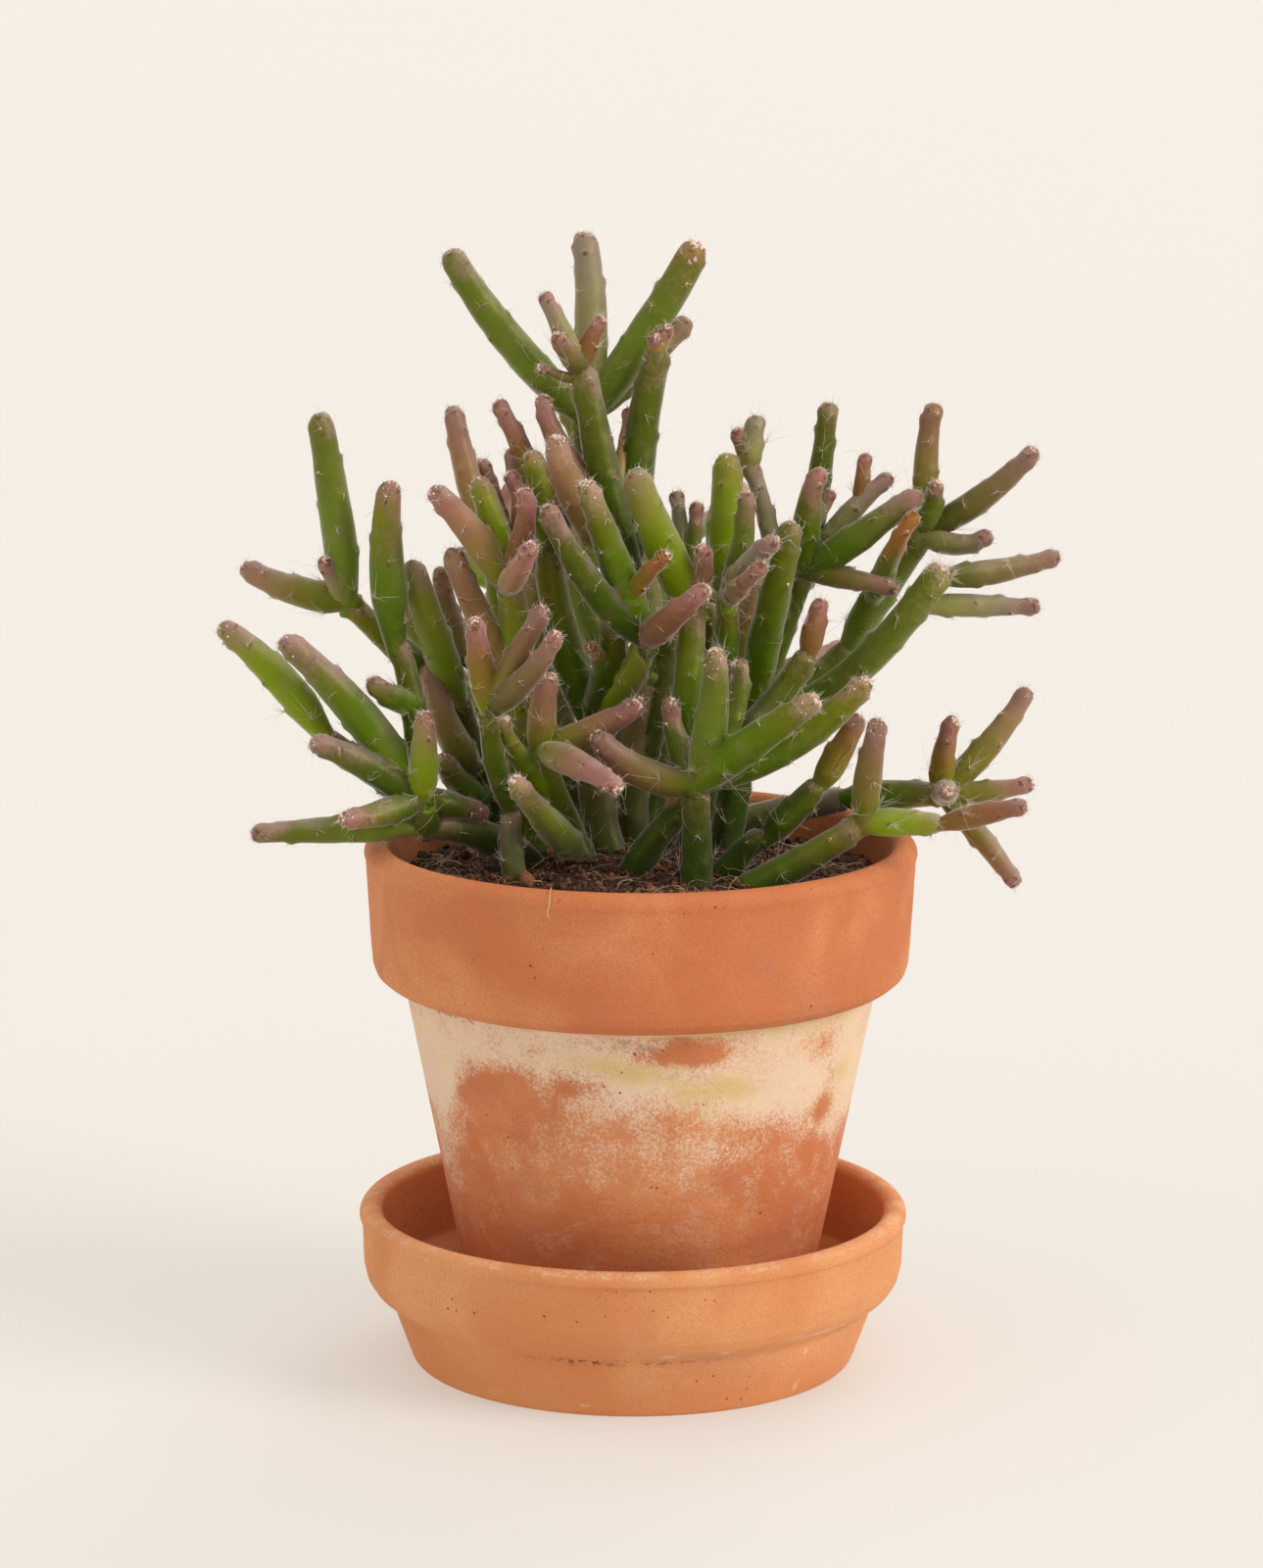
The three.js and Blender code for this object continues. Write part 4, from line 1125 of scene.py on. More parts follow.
@dataclass
class RootedStem:
    """One stem with all the segments that grew on it, and their bristles and scales."""

    name: str
    segments: tuple[Segment, ...]
    seed: int
    skin: Material
    fuzz: Material
    soil_level: float = 117.0
    planting_depth: float = 12.0
    inset: float = 0.42
    axis_steps: int = 64
    sides: int = 20
    ring_gap: float = 0.95
    cap_leans: tuple[float, ...] = (0, 18, 36, 52, 66, 77, 85)
    cap_reach: float = 1.15
    most_cap: float = 0.4
    neck: float = 0.56
    rooted_neck: float = 0.86
    neck_reach: Spot = (0.34, 2.6)
    slender_reach: Spot = (0.42, 1.04)
    three_ribs: float = 0.022
    five_ribs: float = 0.012
    areole_gap: float = 2.9
    areole_drift: float = 0.6
    areole_sway: float = 0.3
    areole_reach: Spot = (0.85, 0.66)
    crowded: tuple[float, ...] = (0.56, 0.42, 0.31, 0.22, 0.15, 0.09, 0.04)
    tubercle: float = 0.5
    tubercle_radius: float = 1.35
    dimple_ahead: float = 1.5
    dimple_size: Spot = (1.0, 1.3)
    lowest_bump: float = -0.3
    highest_bump: float = 0.55
    ripple: float = 0.2
    ripple_size: float = 4.5
    eye_radius: float = 0.85
    hair_width: float = 0.04
    standing: float = 0.3
    hair_reach: Spot = (0.9, 2.9)
    long_hairs: float = 0.07
    long_reach: float = 2.3
    joint_reach: Spot = (1.1, 3.0)
    hairs_at_joint: int = 5
    cushion_sink: float = 0.16
    cushion_sizes: Spot = (0.2, 0.38)
    cushion_rough: float = 0.14
    scale_rough: float = 0.16
    # The way towards the key light, which the painted highlight, the sun-side blush and the riper tips follow
    sun: Point = (0.5, -0.1, 0.86)
    hair_tones: tuple[Rgb, Rgb] = ((226, 210, 186), (255, 252, 244))
    # Darker green near the soil: painted shade low in the plant, partly the older stems' own colour
    foot_shade_and_age: Rgb = (50, 74, 30)
    most_foot_shade_and_age: float = 0.68
    cushion_tone: Rgb = (140, 96, 72)
    crown_tone: Rgb = (222, 178, 160)
    scale_tone: Rgb = (252, 232, 222)

    def axes(self) -> list[Array]:
        """Work out the line that each segment runs along.

        Returns:
            For each segment, points from its start to its tip.
        """
        share = np.linspace(0, 1, self.axis_steps + 1)[:, None]
        lines: list[Array] = []
        for segment in self.segments:
            half = np.array(segment.half, float)
            tip = np.array(segment.tip, float)
            if segment.place:
                start = np.array([*segment.place, self.soil_level])
            else:
                start = lines[segment.parent][round(segment.share * self.axis_steps)]
                start = start + unit(start - half) * segment.thick * self.inset
            lines.append(bent(start, 2 * half - (start + tip) / 2, tip, share))
        return lines

    def rings(self, line: Array, segment: Segment, rng: Random) -> Rings:
        """Set rings round a segment's axis, closer together at its rounded end.

        Args:
            line: The axis.
            segment: What the segment is like.
            rng: Source of the way that the first ring is turned.

        Returns:
            The rings.
        """
        radius = segment.thick / 2
        passed = np.concatenate([[0], np.cumsum(np.linalg.norm(np.diff(line, axis=0), axis=1))])
        length = float(passed[-1])
        cap_length = min(self.cap_reach * radius, self.most_cap * length)
        lean = np.radians(self.cap_leans)
        before_cap = max(4, round(length / self.ring_gap))
        plain = np.linspace(0, length - cap_length, before_cap, endpoint=False)
        heights = np.concatenate([plain, length - cap_length * (1 - np.sin(lean))])
        centres = np.stack([np.interp(heights, passed, line[:, axis]) for axis in range(3)], axis=-1)
        onward = unit(np.gradient(centres, heights, axis=0))
        sideways = np.empty_like(centres)
        last = unit(np.cross(onward[0], rng.normal(size=3)))
        for ring, ahead in enumerate(onward):
            last = unit(last - ahead * (last @ ahead))
            sideways[ring] = last
        neck = self.rooted_neck if segment.place else self.neck
        neck_end = min(self.neck_reach[0] * length, self.neck_reach[1] * segment.thick)
        slim_start, slim_end = (share * length for share in self.slender_reach)
        radii = neck + (1 - neck) * eased(heights, 0, neck_end)
        radii *= 1 - segment.end.value.slender * eased(heights, slim_start, slim_end)
        radii *= radius
        radii[before_cap:] *= np.cos(lean) ** CAP_POWER
        return Rings(heights, centres, onward, sideways, radii, length, cap_length, before_cap)

    def spots(self, segment: Segment, length: float, rng: Random) -> Array:
        """Choose where a segment's areoles sit: in a spiral, and crowded at the tip.

        Args:
            segment: The segment.
            length: How long its axis is.
            rng: Source of the irregularity.

        Returns:
            For each areole, how far along the segment and how far round it is.
        """
        joint_end, tip_start = (share * segment.thick for share in self.areole_reach)
        first = self.planting_depth + 5 if segment.place else joint_end
        even = np.arange(first, length - tip_start, self.areole_gap)
        at_tip = length - np.array(self.crowded) * segment.thick
        drift = rng.uniform(-self.areole_drift, self.areole_drift, len(even))
        along = np.concatenate([even + drift, at_tip])
        turn = rng.uniform(0, ANY_TURN) + GOLDEN_ANGLE * np.arange(len(along))
        turn = turn + rng.uniform(-self.areole_sway, self.areole_sway, len(along))
        return np.stack([along, turn], axis=-1)

    def skinned(self, line: Array, segment: Segment, rng: Random) -> tuple[Shell, Areoles, Cap]:
        """Grow the skin of one segment round its axis, with a low mound under each areole.

        Args:
            line: The axis.
            segment: What the segment is like.
            rng: Source of its irregularity.

        Returns:
            The closed skin, its areoles and its rounded end.
        """
        if segment.place:
            depth = np.linspace(self.planting_depth, 1, 8)[:, None]
            line = np.vstack([line[0] - depth * UP, line])
        rings = self.rings(line, segment, rng)
        heights, centres, radii = rings.heights, rings.centres, rings.radii
        turn = np.linspace(0, FULL_TURN, self.sides, endpoint=False)
        spokes = turned(rings.sideways[:, None], rings.onward[:, None], turn[:, None])
        phase = rng.uniform(0, ANY_TURN)
        ribs = 1 + self.three_ribs * np.cos(3 * turn + heights[:, None] / 11 + phase)
        ribs = ribs + self.five_ribs * np.cos(5 * turn - phase)
        spots = self.spots(segment, rings.length, rng)
        apart = heights[:, None, None] - spots[:, 0]
        veer = np.angle(np.exp(1j * (turn[:, None] - spots[:, 1])))
        aside = veer[None] * np.maximum(radii, 0.4)[:, None, None]
        swell = hump(apart, aside, self.tubercle_radius, self.tubercle_radius)
        dimple = hump(apart - self.dimple_ahead, aside, *self.dimple_size)
        bumps = (self.tubercle * swell - 0.5 * self.tubercle * dimple).sum(axis=2)
        bumps = np.clip(bumps * min(1, segment.thick / 2 / 2.6), self.lowest_bump, self.highest_bump)
        flat = (centres[:, None] + spokes * radii[:, None, None]).reshape(-1, 3)
        bumps += self.ripple * unevenness(flat, self.ripple_size, 2, self.seed).reshape(bumps.shape)
        reach = radii[:, None] * ribs + bumps * eased(radii, 0.1, 0.8)[:, None]
        foot = centres[0] - 0.3 * (segment.thick / 2) * rings.onward[0]
        shell = Shell.over_rings(centres[:, None] + spokes * reach[:, :, None], foot, line[-1])
        eyes = hump(apart, aside, self.eye_radius, self.eye_radius).max(axis=2)
        shell.values = self.colours(shell.points, segment, rings, spokes, eyes)
        areoles = rings.areoles(spots, 0.7 * self.tubercle, 0.8 * segment.thick)
        return shell, areoles, rings.cap()

    def colours(
        self, points: Array, segment: Segment, rings: Rings, spokes: Array, eyes: Array
    ) -> dict[str, Array]:
        """Say what colours each point of a segment's skin has.

        Args:
            points: The points of the skin, its foot and its head last.
            segment: What the segment is like.
            rings: The rings that the skin follows.
            spokes: The way out of the axis at each point of the rings.
            eyes: How close each of these points is to an areole, from 0 to 1.

        Returns:
            For each kind of colouring, a value at each point.
        """
        share = np.append(np.repeat(rings.heights / rings.length, self.sides), [0, 1])
        along = share * rings.length
        drift = unevenness(points, 9, 2, self.seed + 5)
        stops = np.array([daylight(tone) for tone in segment.body.value])
        climb = np.clip((share + 0.1 * drift - 0.15) / 0.7, 0, 1) * (len(stops) - 1)
        below = np.minimum(climb.astype(int), len(stops) - 2)
        climb = (climb - below)[:, None]
        skin = stops[below] * (1 - climb) + stops[below + 1] * climb
        # Rooted segments darken towards the soil: painted shade, partly the older stems' own colour
        if segment.place:
            foot_shade_share = self.most_foot_shade_and_age * eased(along + 5 * drift, 58, 14)[:, None]
            skin = skin * (1 - foot_shade_share) + np.array(daylight(self.foot_shade_and_age)) * foot_shade_share
        look = segment.end.value
        facing = np.append(spokes.reshape(-1, 3) @ np.array(self.sun), [0, 0])
        ripening = share + 0.12 * drift + 0.1 * facing
        cork = eased(drift, 0.05, 0.5) * eased(along, 0.85 * segment.thick, 0.5 * segment.thick)
        # Painted highlight on the side facing the light, partly the skin's sun-side blush, stronger towards
        # the tip
        sun_blush_and_highlight = eased(facing + 0.15 * drift, 0.25, 1.0) * (0.25 + 0.75 * eased(share, 0.1, 0.7))
        return {
            "skin": skin,
            "blush": np.tile(np.array(daylight(look.colour)), (len(share), 1)),
            "ripe": look.strength * eased(ripening, look.sets_in - 0.08, min(1.12, look.sets_in + 0.6)),
            "sun_blush_and_highlight": sun_blush_and_highlight,
            "corky": 0.45 * cork,
            "eyed": np.append(eyes.ravel(), [0, 0]),
        }

    def toned(self, shell: Shell, tones: tuple[Rgb, Rgb], count: int, rng: Random) -> Shell:
        """Give each of a shell's bits a colour between two tones.

        Args:
            shell: A shell of equal bits.
            tones: The darkest and the lightest tone.
            count: How many bits it has.
            rng: Source of the tones.

        Returns:
            The same shell.
        """
        share = np.repeat(rng.uniform(0, 1, count), len(shell.points) // count)[:, None]
        low, high = (np.array(daylight(tone)) for tone in tones)
        shell.values = {"tone": low * (1 - share) + high * share}
        return shell

    def cushions(self, areoles: Areoles, rng: Random) -> Shell:
        """Set a small felted cushion on each areole.

        Args:
            areoles: Where they sit.
            rng: Source of their sizes and shapes.

        Returns:
            The cushions.
        """
        count = len(areoles.points)
        places = areoles.points - self.cushion_sink * areoles.outward
        shell = lumps(places, rng.uniform(*self.cushion_sizes, count), rng, self.cushion_rough)
        return self.toned(shell, (self.cushion_tone, self.scale_tone), count, rng)

    def tufts(self, areoles: Areoles, rng: Random) -> Shell:
        """Grow a tuft of fine hairs from each areole.

        The hairs fan out like a star and mostly lie along the skin; those at the joint are
        the longest and lie onward, and some hairs stand out.

        Args:
            areoles: Where they grow.
            rng: Source of their lie.

        Returns:
            The hairs.
        """
        tufts = len(areoles.points)
        hairs = rng.integers(3, 7, tufts) + self.hairs_at_joint * areoles.at_joint
        owner = np.repeat(np.arange(tufts), hairs)
        count = len(owner)
        at_joint = areoles.at_joint[owner]
        stands = rng.random(count) < self.standing
        veer = np.where(at_joint, rng.normal(0, 0.75, count), rng.uniform(-math.pi, math.pi, count))
        lean = np.where(stands, rng.uniform(0.3, 1.15, count), rng.uniform(1.1, 1.48, count))[:, None]
        reach = rng.uniform(*self.hair_reach, count) * np.where(stands, 0.8, 1.0)
        reach = reach * np.where(rng.random(count) < self.long_hairs, self.long_reach, 1.0)
        reach = reach * np.where(at_joint, rng.uniform(*self.joint_reach, count), 1.0)
        outward = areoles.outward[owner]
        flat = turned(areoles.onward[owner], outward, veer[:, None])
        heading = outward * np.cos(lean) + flat * np.sin(lean)
        round_by = np.minimum(reach / areoles.radii[owner], 2.4)
        hug = np.where(stands, 0, 0.4 * round_by * np.sin(veer) ** 2 + 0.03)
        curl = unit(rng.normal(size=(count, 3))) * rng.uniform(0.05, 0.35, (count, 1))
        curl = curl - outward * hug[:, None]
        return self.hairs(areoles.points[owner], heading, reach[:, None], curl, rng)

    def hairs(self, roots: Array, heading: Array, reach: Array, curl: Array, rng: Random) -> Shell:
        """Shape fine hairs that taper to a point.

        Args:
            roots: Where they start.
            heading: The way that they start out.
            reach: How long each is.
            curl: How far each bends aside by its end, as a share of its length.
            rng: Source of their tones.

        Returns:
            The hairs.
        """
        share = np.array([0, 0.36, 0.7, 1.0])[None, :, None]
        lines = roots[:, None] + (heading[:, None] * share + curl[:, None] * share**2) * reach[:, None]
        widths = self.hair_width * np.array([1.0, 0.9, 0.65]) * rng.uniform(0.7, 1.25, (len(roots), 1))
        return self.toned(strands(lines, widths, rng), self.hair_tones, len(roots), rng)

    def tip_fuzz(self, segment: Segment, cap: Cap, rng: Random) -> list[Shell]:
        """Grow the hairs and the pale scales on a segment's end.

        Args:
            segment: What the segment is like.
            cap: Its rounded end.
            rng: Source of their places.

        Returns:
            The hairs and the scales.
        """
        look = segment.end.value
        small = min(1.0, segment.thick / 6)
        count = max(4, round(look.hairs * small))
        roots, outward = cap.scattered(count, 58, rng)
        heading = unit(outward + 0.7 * rng.normal(size=(count, 3)))
        reach = look.hair_length * (0.6 + 0.4 * small) * rng.uniform(0.45, 1.35, (count, 1))
        curl = 0.5 * rng.normal(size=(count, 3)) * rng.uniform(0, 1, (count, 1))
        scales = max(6, round(look.scales * small))
        crown = cap.scattered(scales, 30, rng)[0]
        shoulder = cap.scattered(scales // 2, 86, rng)[0]
        size = look.scale_radius * (0.5 + 0.5 * small)
        crown_scales = lumps(crown, size * rng.uniform(0.6, 1.4, scales), rng, self.scale_rough)
        sizes = 0.8 * size * rng.uniform(0.5, 1.3, len(shoulder))
        shoulder_scales = lumps(shoulder, sizes, rng, self.scale_rough)
        return [
            self.hairs(roots, heading, reach, curl, rng),
            self.toned(crown_scales, (self.crown_tone, self.scale_tone), scales, rng),
            self.toned(shoulder_scales, (look.colour, self.scale_tone), len(shoulder), rng),
        ]

    def build(self) -> list[Piece]:
        """Build the stem and its fuzz.

        Returns:
            The stem, and the bristles and scales that ride on it.
        """
        rng = np.random.default_rng(self.seed)
        skins = []
        fuzz = []
        for line, segment in zip(self.axes(), self.segments):
            shell, areoles, cap = self.skinned(line, segment, rng)
            skins.append(shell)
            fuzz.extend([self.cushions(areoles, rng), self.tufts(areoles, rng)])
            fuzz.extend(self.tip_fuzz(segment, cap, rng))
        stem = skins[0].united(self.name, skins[1:], self.skin)
        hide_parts(self.name)
        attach(stem, "root")
        hair = Shell.joined(fuzz).as_object(self.name + "_bristles", self.fuzz)
        hair.parent = stem
        return [stem, hair]


@dataclass(frozen=True)
class Mark:
    """A mark on a turned surface: where it is, how far it reaches and how strong it is. Its
    turn is in degrees from the front, to the right."""

    turn: float
    height: float
    half_turn: float
    half_height: float
    strength: float = 1.0


def turn_from_front(points: Array) -> Array:
    """Give how far each point is turned from the front, to the right, in degrees."""
    return np.degrees(np.arctan2(points[:, 0], -points[:, 1]))


def marked(points: Array, marks: Sequence[Mark]) -> Array:
    """Find how strongly marks show at points on a turned surface.

    Args:
        points: The points.
        marks: The marks.

    Returns:
        A sum of the marks at each point.
    """
    turn = turn_from_front(points)
    total = np.zeros(len(points))
    for mark in marks:
        aside = (turn - mark.turn + 180) % 360 - 180
        total += mark.strength * hump(aside, points[:, 2] - mark.height, mark.half_turn, mark.half_height)
    return total


def arc(centre: Spot, radius: float, start: float, end: float, steps: int) -> list[Spot]:
    """Give points of an arc as radius and height, with angles in degrees from outward."""
    angles = np.radians(np.linspace(start, end, steps + 1))
    return [(centre[0] + radius * math.cos(a), centre[1] + radius * math.sin(a)) for a in angles]


@dataclass
class TurnedClay:
    """A piece of clay that was turned on a wheel."""

    clay: Material
    sides: int = 200
    gap: float = 1.6
    rounding: float = 0.5
    wall: float = 5.2
    floor: float = 6.0
    wobble: float = 0.2
    wobble_size: float = 70.0
    ridge: float = 0.04
    ridge_size: float = 1.7
    ridge_length: float = 0.07
    roughness: float = 0.03
    rough_size: float = 2.6

    def softened(self, outline: Sequence[Spot], loop: bool) -> Array:
        """Round off an outline's corners and fill its long stretches with points.

        Args:
            outline: The corners, as radius and height.
            loop: Whether the outline ends where it started.

        Returns:
            The new points.
        """
        corners = np.array(outline, float)
        share = np.linspace(0, 1, 4)[:, None]
        track = []
        for number, corner in enumerate(corners):
            if not loop and number in (0, len(corners) - 1):
                track.append(corner[None])
                continue
            start, end = (
                corner + unit(way) * min(self.rounding, 0.42 * np.linalg.norm(way))
                for way in (corners[number - 1] - corner, corners[(number + 1) % len(corners)] - corner)
            )
            track.append(bent(start, corner, end, share))
        points = np.concatenate(track)
        filled = []
        for point, ahead in zip(points, np.roll(points, -1, axis=0)):
            pieces = max(1, math.ceil(np.linalg.norm(ahead - point) / self.gap))
            filled.append(point + (ahead - point) * np.arange(pieces)[:, None] / pieces)
        if not loop:
            filled[-1] = points[-1:]
        return np.concatenate(filled)

    def thrown(self, outline: Sequence[Spot], loop: bool, name: str, aside: float = 0) -> Piece:
        """Turn the outline and give it the unevenness of a thrown piece.

        Args:
            outline: Its corners, as radius and height.
            loop: Whether the outline goes round the wall, with a hole in the middle.
            name: The piece's name, which is also its node.
            aside: How far to the right of the pot's middle it stands.

        Returns:
            The piece.
        """
        track = self.softened(outline, loop)
        rounds = level_ways(np.radians(np.arange(self.sides) * 360 / self.sides - 90))
        body = track if loop else track[1:-1]
        rings = rounds * body[:, :1, None] + UP * body[:, 1:, None]
        flat = rings.reshape(-1, 3)
        slow = unevenness(flat, self.wobble_size, 2, 3)
        lines = unevenness(flat * np.array([self.ridge_length, self.ridge_length, 1]), self.ridge_size, 2, 8)
        pushed = self.wobble * slow + self.ridge * lines
        pushed += self.roughness * unevenness(flat, self.rough_size, 2, 4)
        rings = (flat + np.tile(rounds, (len(body), 1)) * pushed[:, None]).reshape(rings.shape)
        if loop:
            shell = Shell.over_rings(rings, loop=True)
        else:
            shell = Shell.over_rings(rings, UP * track[0, 1], UP * track[-1, 1])
        shell.values = self.weathering(shell.points)
        shell.points = shell.points + np.array([aside, 0, 0])
        piece = shell.as_object(name, self.clay)
        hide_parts(name)
        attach(piece, "root")
        return piece

    def weathering(self, points: Array) -> dict[str, Array]:
        """Say how weathered each point is, which each turned piece does in its own way."""
        raise NotImplementedError


@dataclass
class Saucer(TurnedClay):
    """The saucer: flat underside, flared wall, step, upright band and rolled lip."""

    radius: float = 65.0
    height: float = 37.5
    base_radius: float = 52.0
    step_radius: float = 57.3
    step_height: float = 14.4
    lip_width: float = 5.6
    shift: float = -1.6
    most_damp: float = 0.34
    inner_wall: tuple[Spot, ...] = ((0, 0), (6, 44), (10.5, 49.5), (18.5, 58), (34, 59.4))
    pits: tuple[Mark, ...] = (
        Mark(-38, 26, 9, 2.6), Mark(-3.5, 32, 7, 3.4), Mark(-17, 26, 9, 2.6, 0.5), Mark(11, 28, 12, 3.6, 0.6),
        Mark(29, 16, 1.4, 1.2), Mark(-47, 8, 12, 3, 0.3), Mark(150, 27, 14, 4), Mark(-120, 24, 16, 4, 0.8),
    )
    scuffs: tuple[Mark, ...] = (
        Mark(7.8, 16.7, 3, 0.7, 1.1), Mark(20.6, 16.6, 2.2, 0.7, 1.1), Mark(45, 17.6, 10, 0.7, 0.9),
        Mark(45.6, 12.2, 1.0, 1.2, 1.0), Mark(45, 3, 0.9, 2.4, 0.9), Mark(-11.6, 2.7, 3.4, 0.7, 0.9),
        Mark(-47, 35, 2, 1.0, 0.8), Mark(-150, 17, 14, 0.8, 0.9), Mark(100, 17, 10, 0.8, 0.8),
    )
    crease: tuple[Mark, ...] = (
        Mark(-10, 14.6, 13, 0.8, 0.9), Mark(14, 14.4, 16, 0.6, 0.35), Mark(170, 14.5, 40, 0.8, 0.7),
    )

    def outline(self) -> list[Spot]:
        """Give the saucer's outline from the middle of its underside to the middle of its floor.

        Returns:
            Its corners, as radius and height.
        """
        lip = self.lip_width / 2
        step = self.step_height
        return [
            (0, 0),
            (self.base_radius, 0),
            (self.base_radius + 0.7, 0.9),
            (self.step_radius - 0.8, step - 3),
            (self.step_radius, step),
            (self.step_radius + 1.7, step + 1.3),
            (self.radius - 3.4, step + 3.2),
            (self.radius - 1.8, step + 5.6),
            (self.radius - 1, step + 9.1),
            (self.radius - 0.75, step + 17.6),
            (self.radius - 0.6, step + 19.2),
            *arc((self.radius - lip, self.height - lip), lip, -8, 180, 12),
            (self.radius - 6.8, step + 4.4),
            (self.radius - 8.4, step + 3.6),
            (self.radius - 11.6, step + 1.6),
            (self.radius - 13.6, step - 1.2),
            (self.radius - 17.5, self.floor + 1.6),
            (self.radius - 20.5, self.floor),
            (0, self.floor),
        ]

    def weathering(self, points: Array) -> dict[str, Array]:
        """Put damp on the inside, pits on the band, pale scuffs on the step and a painted highlight along the
        top of the lip.

        Args:
            points: The points of the surface.

        Returns:
            For each kind of weathering, a value at each point.
        """
        reach = np.hypot(points[:, 0], points[:, 1])
        up = points[:, 2]
        wall = np.interp(up, *zip(*self.inner_wall))
        inside = eased(wall + 2.2 - reach, -0.6, 0.6) * eased(up, 4.5, 5.5)
        # A pale veil along the top of the lip is a painted highlight, carried in the lime value
        lip_highlight = 0.5 * eased(up, 35.4, 36.6) - 0.35
        return {
            "damp": self.most_damp * (inside * eased(up, 38, 22)),
            "pitted": np.clip(marked(points, self.pits), 0, 1),
            "dirty": np.clip(marked(points, self.crease), 0, 1),
            "lime": np.maximum(np.clip(marked(points, self.scuffs), 0, 1) - 0.35, lip_highlight),
            "algae": np.zeros(len(points)) - 0.5,
        }

    def build(self) -> list[Piece]:
        """Build the saucer."""
        return [self.thrown(self.outline(), False, "saucer", self.shift)]


@dataclass
class Pot(TurnedClay):
    """The pot: tapered body, band round the rim, rounded lip, drain hole in its floor."""

    rim_radius: float = 65.0
    height: float = 119.0
    band_height: float = 33.0
    base_radius: float = 38.8
    body_top_radius: float = 55.4
    hollow_foot_radius: float = 34.8
    drain_radius: float = 7.0
    foot: float = 6.3
    shore: tuple[Spot, ...] = (
        (-180, 74), (-130, 68), (-90, 64), (-66, 67), (-52, 77), (-36, 79), (-18, 79), (-8, 78), (2, 74),
        (14, 72), (26, 70), (40, 67), (55, 62), (75, 61), (100, 66), (140, 72), (180, 74),
    )
    bare: tuple[Mark, ...] = (
        Mark(12, 85.9, 10.5, 2.9, 1.3), Mark(8, 90, 12, 1.2, 0.5), Mark(56.3, 67.8, 6, 3.4, 1.3),
        Mark(-42, 73.5, 9, 6.0, 0.38), Mark(-36, 69, 12, 5, 0.3), Mark(49, 84, 7, 4, 0.5),
        Mark(58, 75, 4, 4, 0.4), Mark(-34, 78, 4, 2, 0.4), Mark(-16, 77.5, 5, 1.6, 0.5),
        Mark(-26, 86.5, 5, 1.6, 0.35), Mark(150, 84, 16, 4, 1.1), Mark(-130, 76, 14, 6, 0.9),
    )
    limy: tuple[Mark, ...] = (
        Mark(-62, 70, 9, 11, 0.7), Mark(-9.5, 73, 12, 5.5, 0.5), Mark(39, 77, 14, 8, 0.35),
        Mark(-72, 58, 8, 16, 0.5), Mark(68, 68, 10, 16, 0.5), Mark(16, 64, 12, 6, 0.34),
        Mark(-9, 60, 22, 8, 0.24), Mark(28, 58, 20, 7, 0.2), Mark(-28, 70, 5, 4, 0.25),
        Mark(178, 62, 24, 9, 0.6), Mark(115, 62, 18, 10, 0.5), Mark(-150, 55, 12, 8, 0.4),
    )
    greens: tuple[Mark, ...] = (
        Mark(-3, 82, 11, 3, 0.95), Mark(20, 77, 15, 3.4, 1.1), Mark(24, 91.0, 19, 1.6, 0.9),
        Mark(52, 89, 12, 2.4, 0.5), Mark(63, 75, 6, 6.5, 0.7), Mark(12, 71, 9, 3, 0.45),
        Mark(-15, 84, 9, 2.6, 0.5), Mark(40, 84, 12, 4, 0.4), Mark(170, 80, 20, 5, 0.8),
    )
    pits: tuple[Mark, ...] = (
        Mark(18, 121, 7, 2.6, 0.8), Mark(4, 119, 5, 4, 0.6), Mark(9, 111, 14, 5, 0.45),
        Mark(-20, 108, 9, 5, 0.5), Mark(-52, 121, 3, 4, 0.8), Mark(36, 102, 12, 6, 0.3),
        Mark(12, 79, 9, 3, 0.45), Mark(-4, 87, 12, 1.6, 0.9), Mark(-24, 65, 4, 3, 0.6),
        Mark(16, 60, 6, 3, 0.5), Mark(-5, 41, 3, 2, 0.9), Mark(30, 66, 14, 6, 0.3),
        Mark(180, 112, 30, 8, 0.5), Mark(-120, 100, 20, 6, 0.4),
    )
    dirt: tuple[Mark, ...] = (
        Mark(-54, 90.6, 16, 0.8, 0.9), Mark(-3, 88.2, 13, 1.2, 0.5), Mark(30, 91.5, 16, 0.6, 0.3),
        Mark(10, 81, 10, 2.5, 0.15), Mark(150, 90.5, 40, 1, 0.8),
    )
    # A darker patch at the front of the foot
    dark_front_foot: Mark = Mark(0, 32, 22, 9, 0.42)

    def outline(self) -> list[Spot]:
        """Give the pot's outline, once round its wall.

        Returns:
            Its corners, as radius and height.
        """
        band_foot = self.height - self.band_height
        lip = 0.6 * self.wall
        corners = [
            (self.drain_radius, 0),
            (self.base_radius - 1, 0),
            (self.base_radius, 1),
            (self.body_top_radius, band_foot - 2.6),
            (self.body_top_radius + 0.5, band_foot - 1.6),
            (self.rim_radius - 7.6, band_foot - 1),
            (self.rim_radius - 4.6, band_foot + 0.3),
            (self.rim_radius - 2.7, band_foot + 1.9),
            (self.rim_radius - 2, band_foot + 4),
            (self.rim_radius - 1.6, band_foot + 8),
            (self.rim_radius - 0.4, band_foot + 28.6),
            *arc((self.rim_radius - lip, self.height - lip), lip, -3, 160, 11),
            (self.body_top_radius - self.wall + 1, band_foot),
            (self.hollow_foot_radius, self.floor + 2.4),
            (self.hollow_foot_radius - 2.4, self.floor),
            (self.drain_radius, self.floor),
        ]
        return [(radius, height + self.foot) for radius, height in corners]

    def lime(self, points: Array) -> Array:
        """Find how thick the lime crust is.

        Args:
            points: The points of the surface.

        Returns:
            A thickness at each point, below 0 where there is none.
        """
        low = np.interp(turn_from_front(points), *zip(*self.shore))
        drift = 3.0 * unevenness(points, 15, 3, 11)
        crust = 0.85 * eased(points[:, 2] + drift - low, -5, 5)
        return crust - marked(points, self.bare) + marked(points, self.limy)

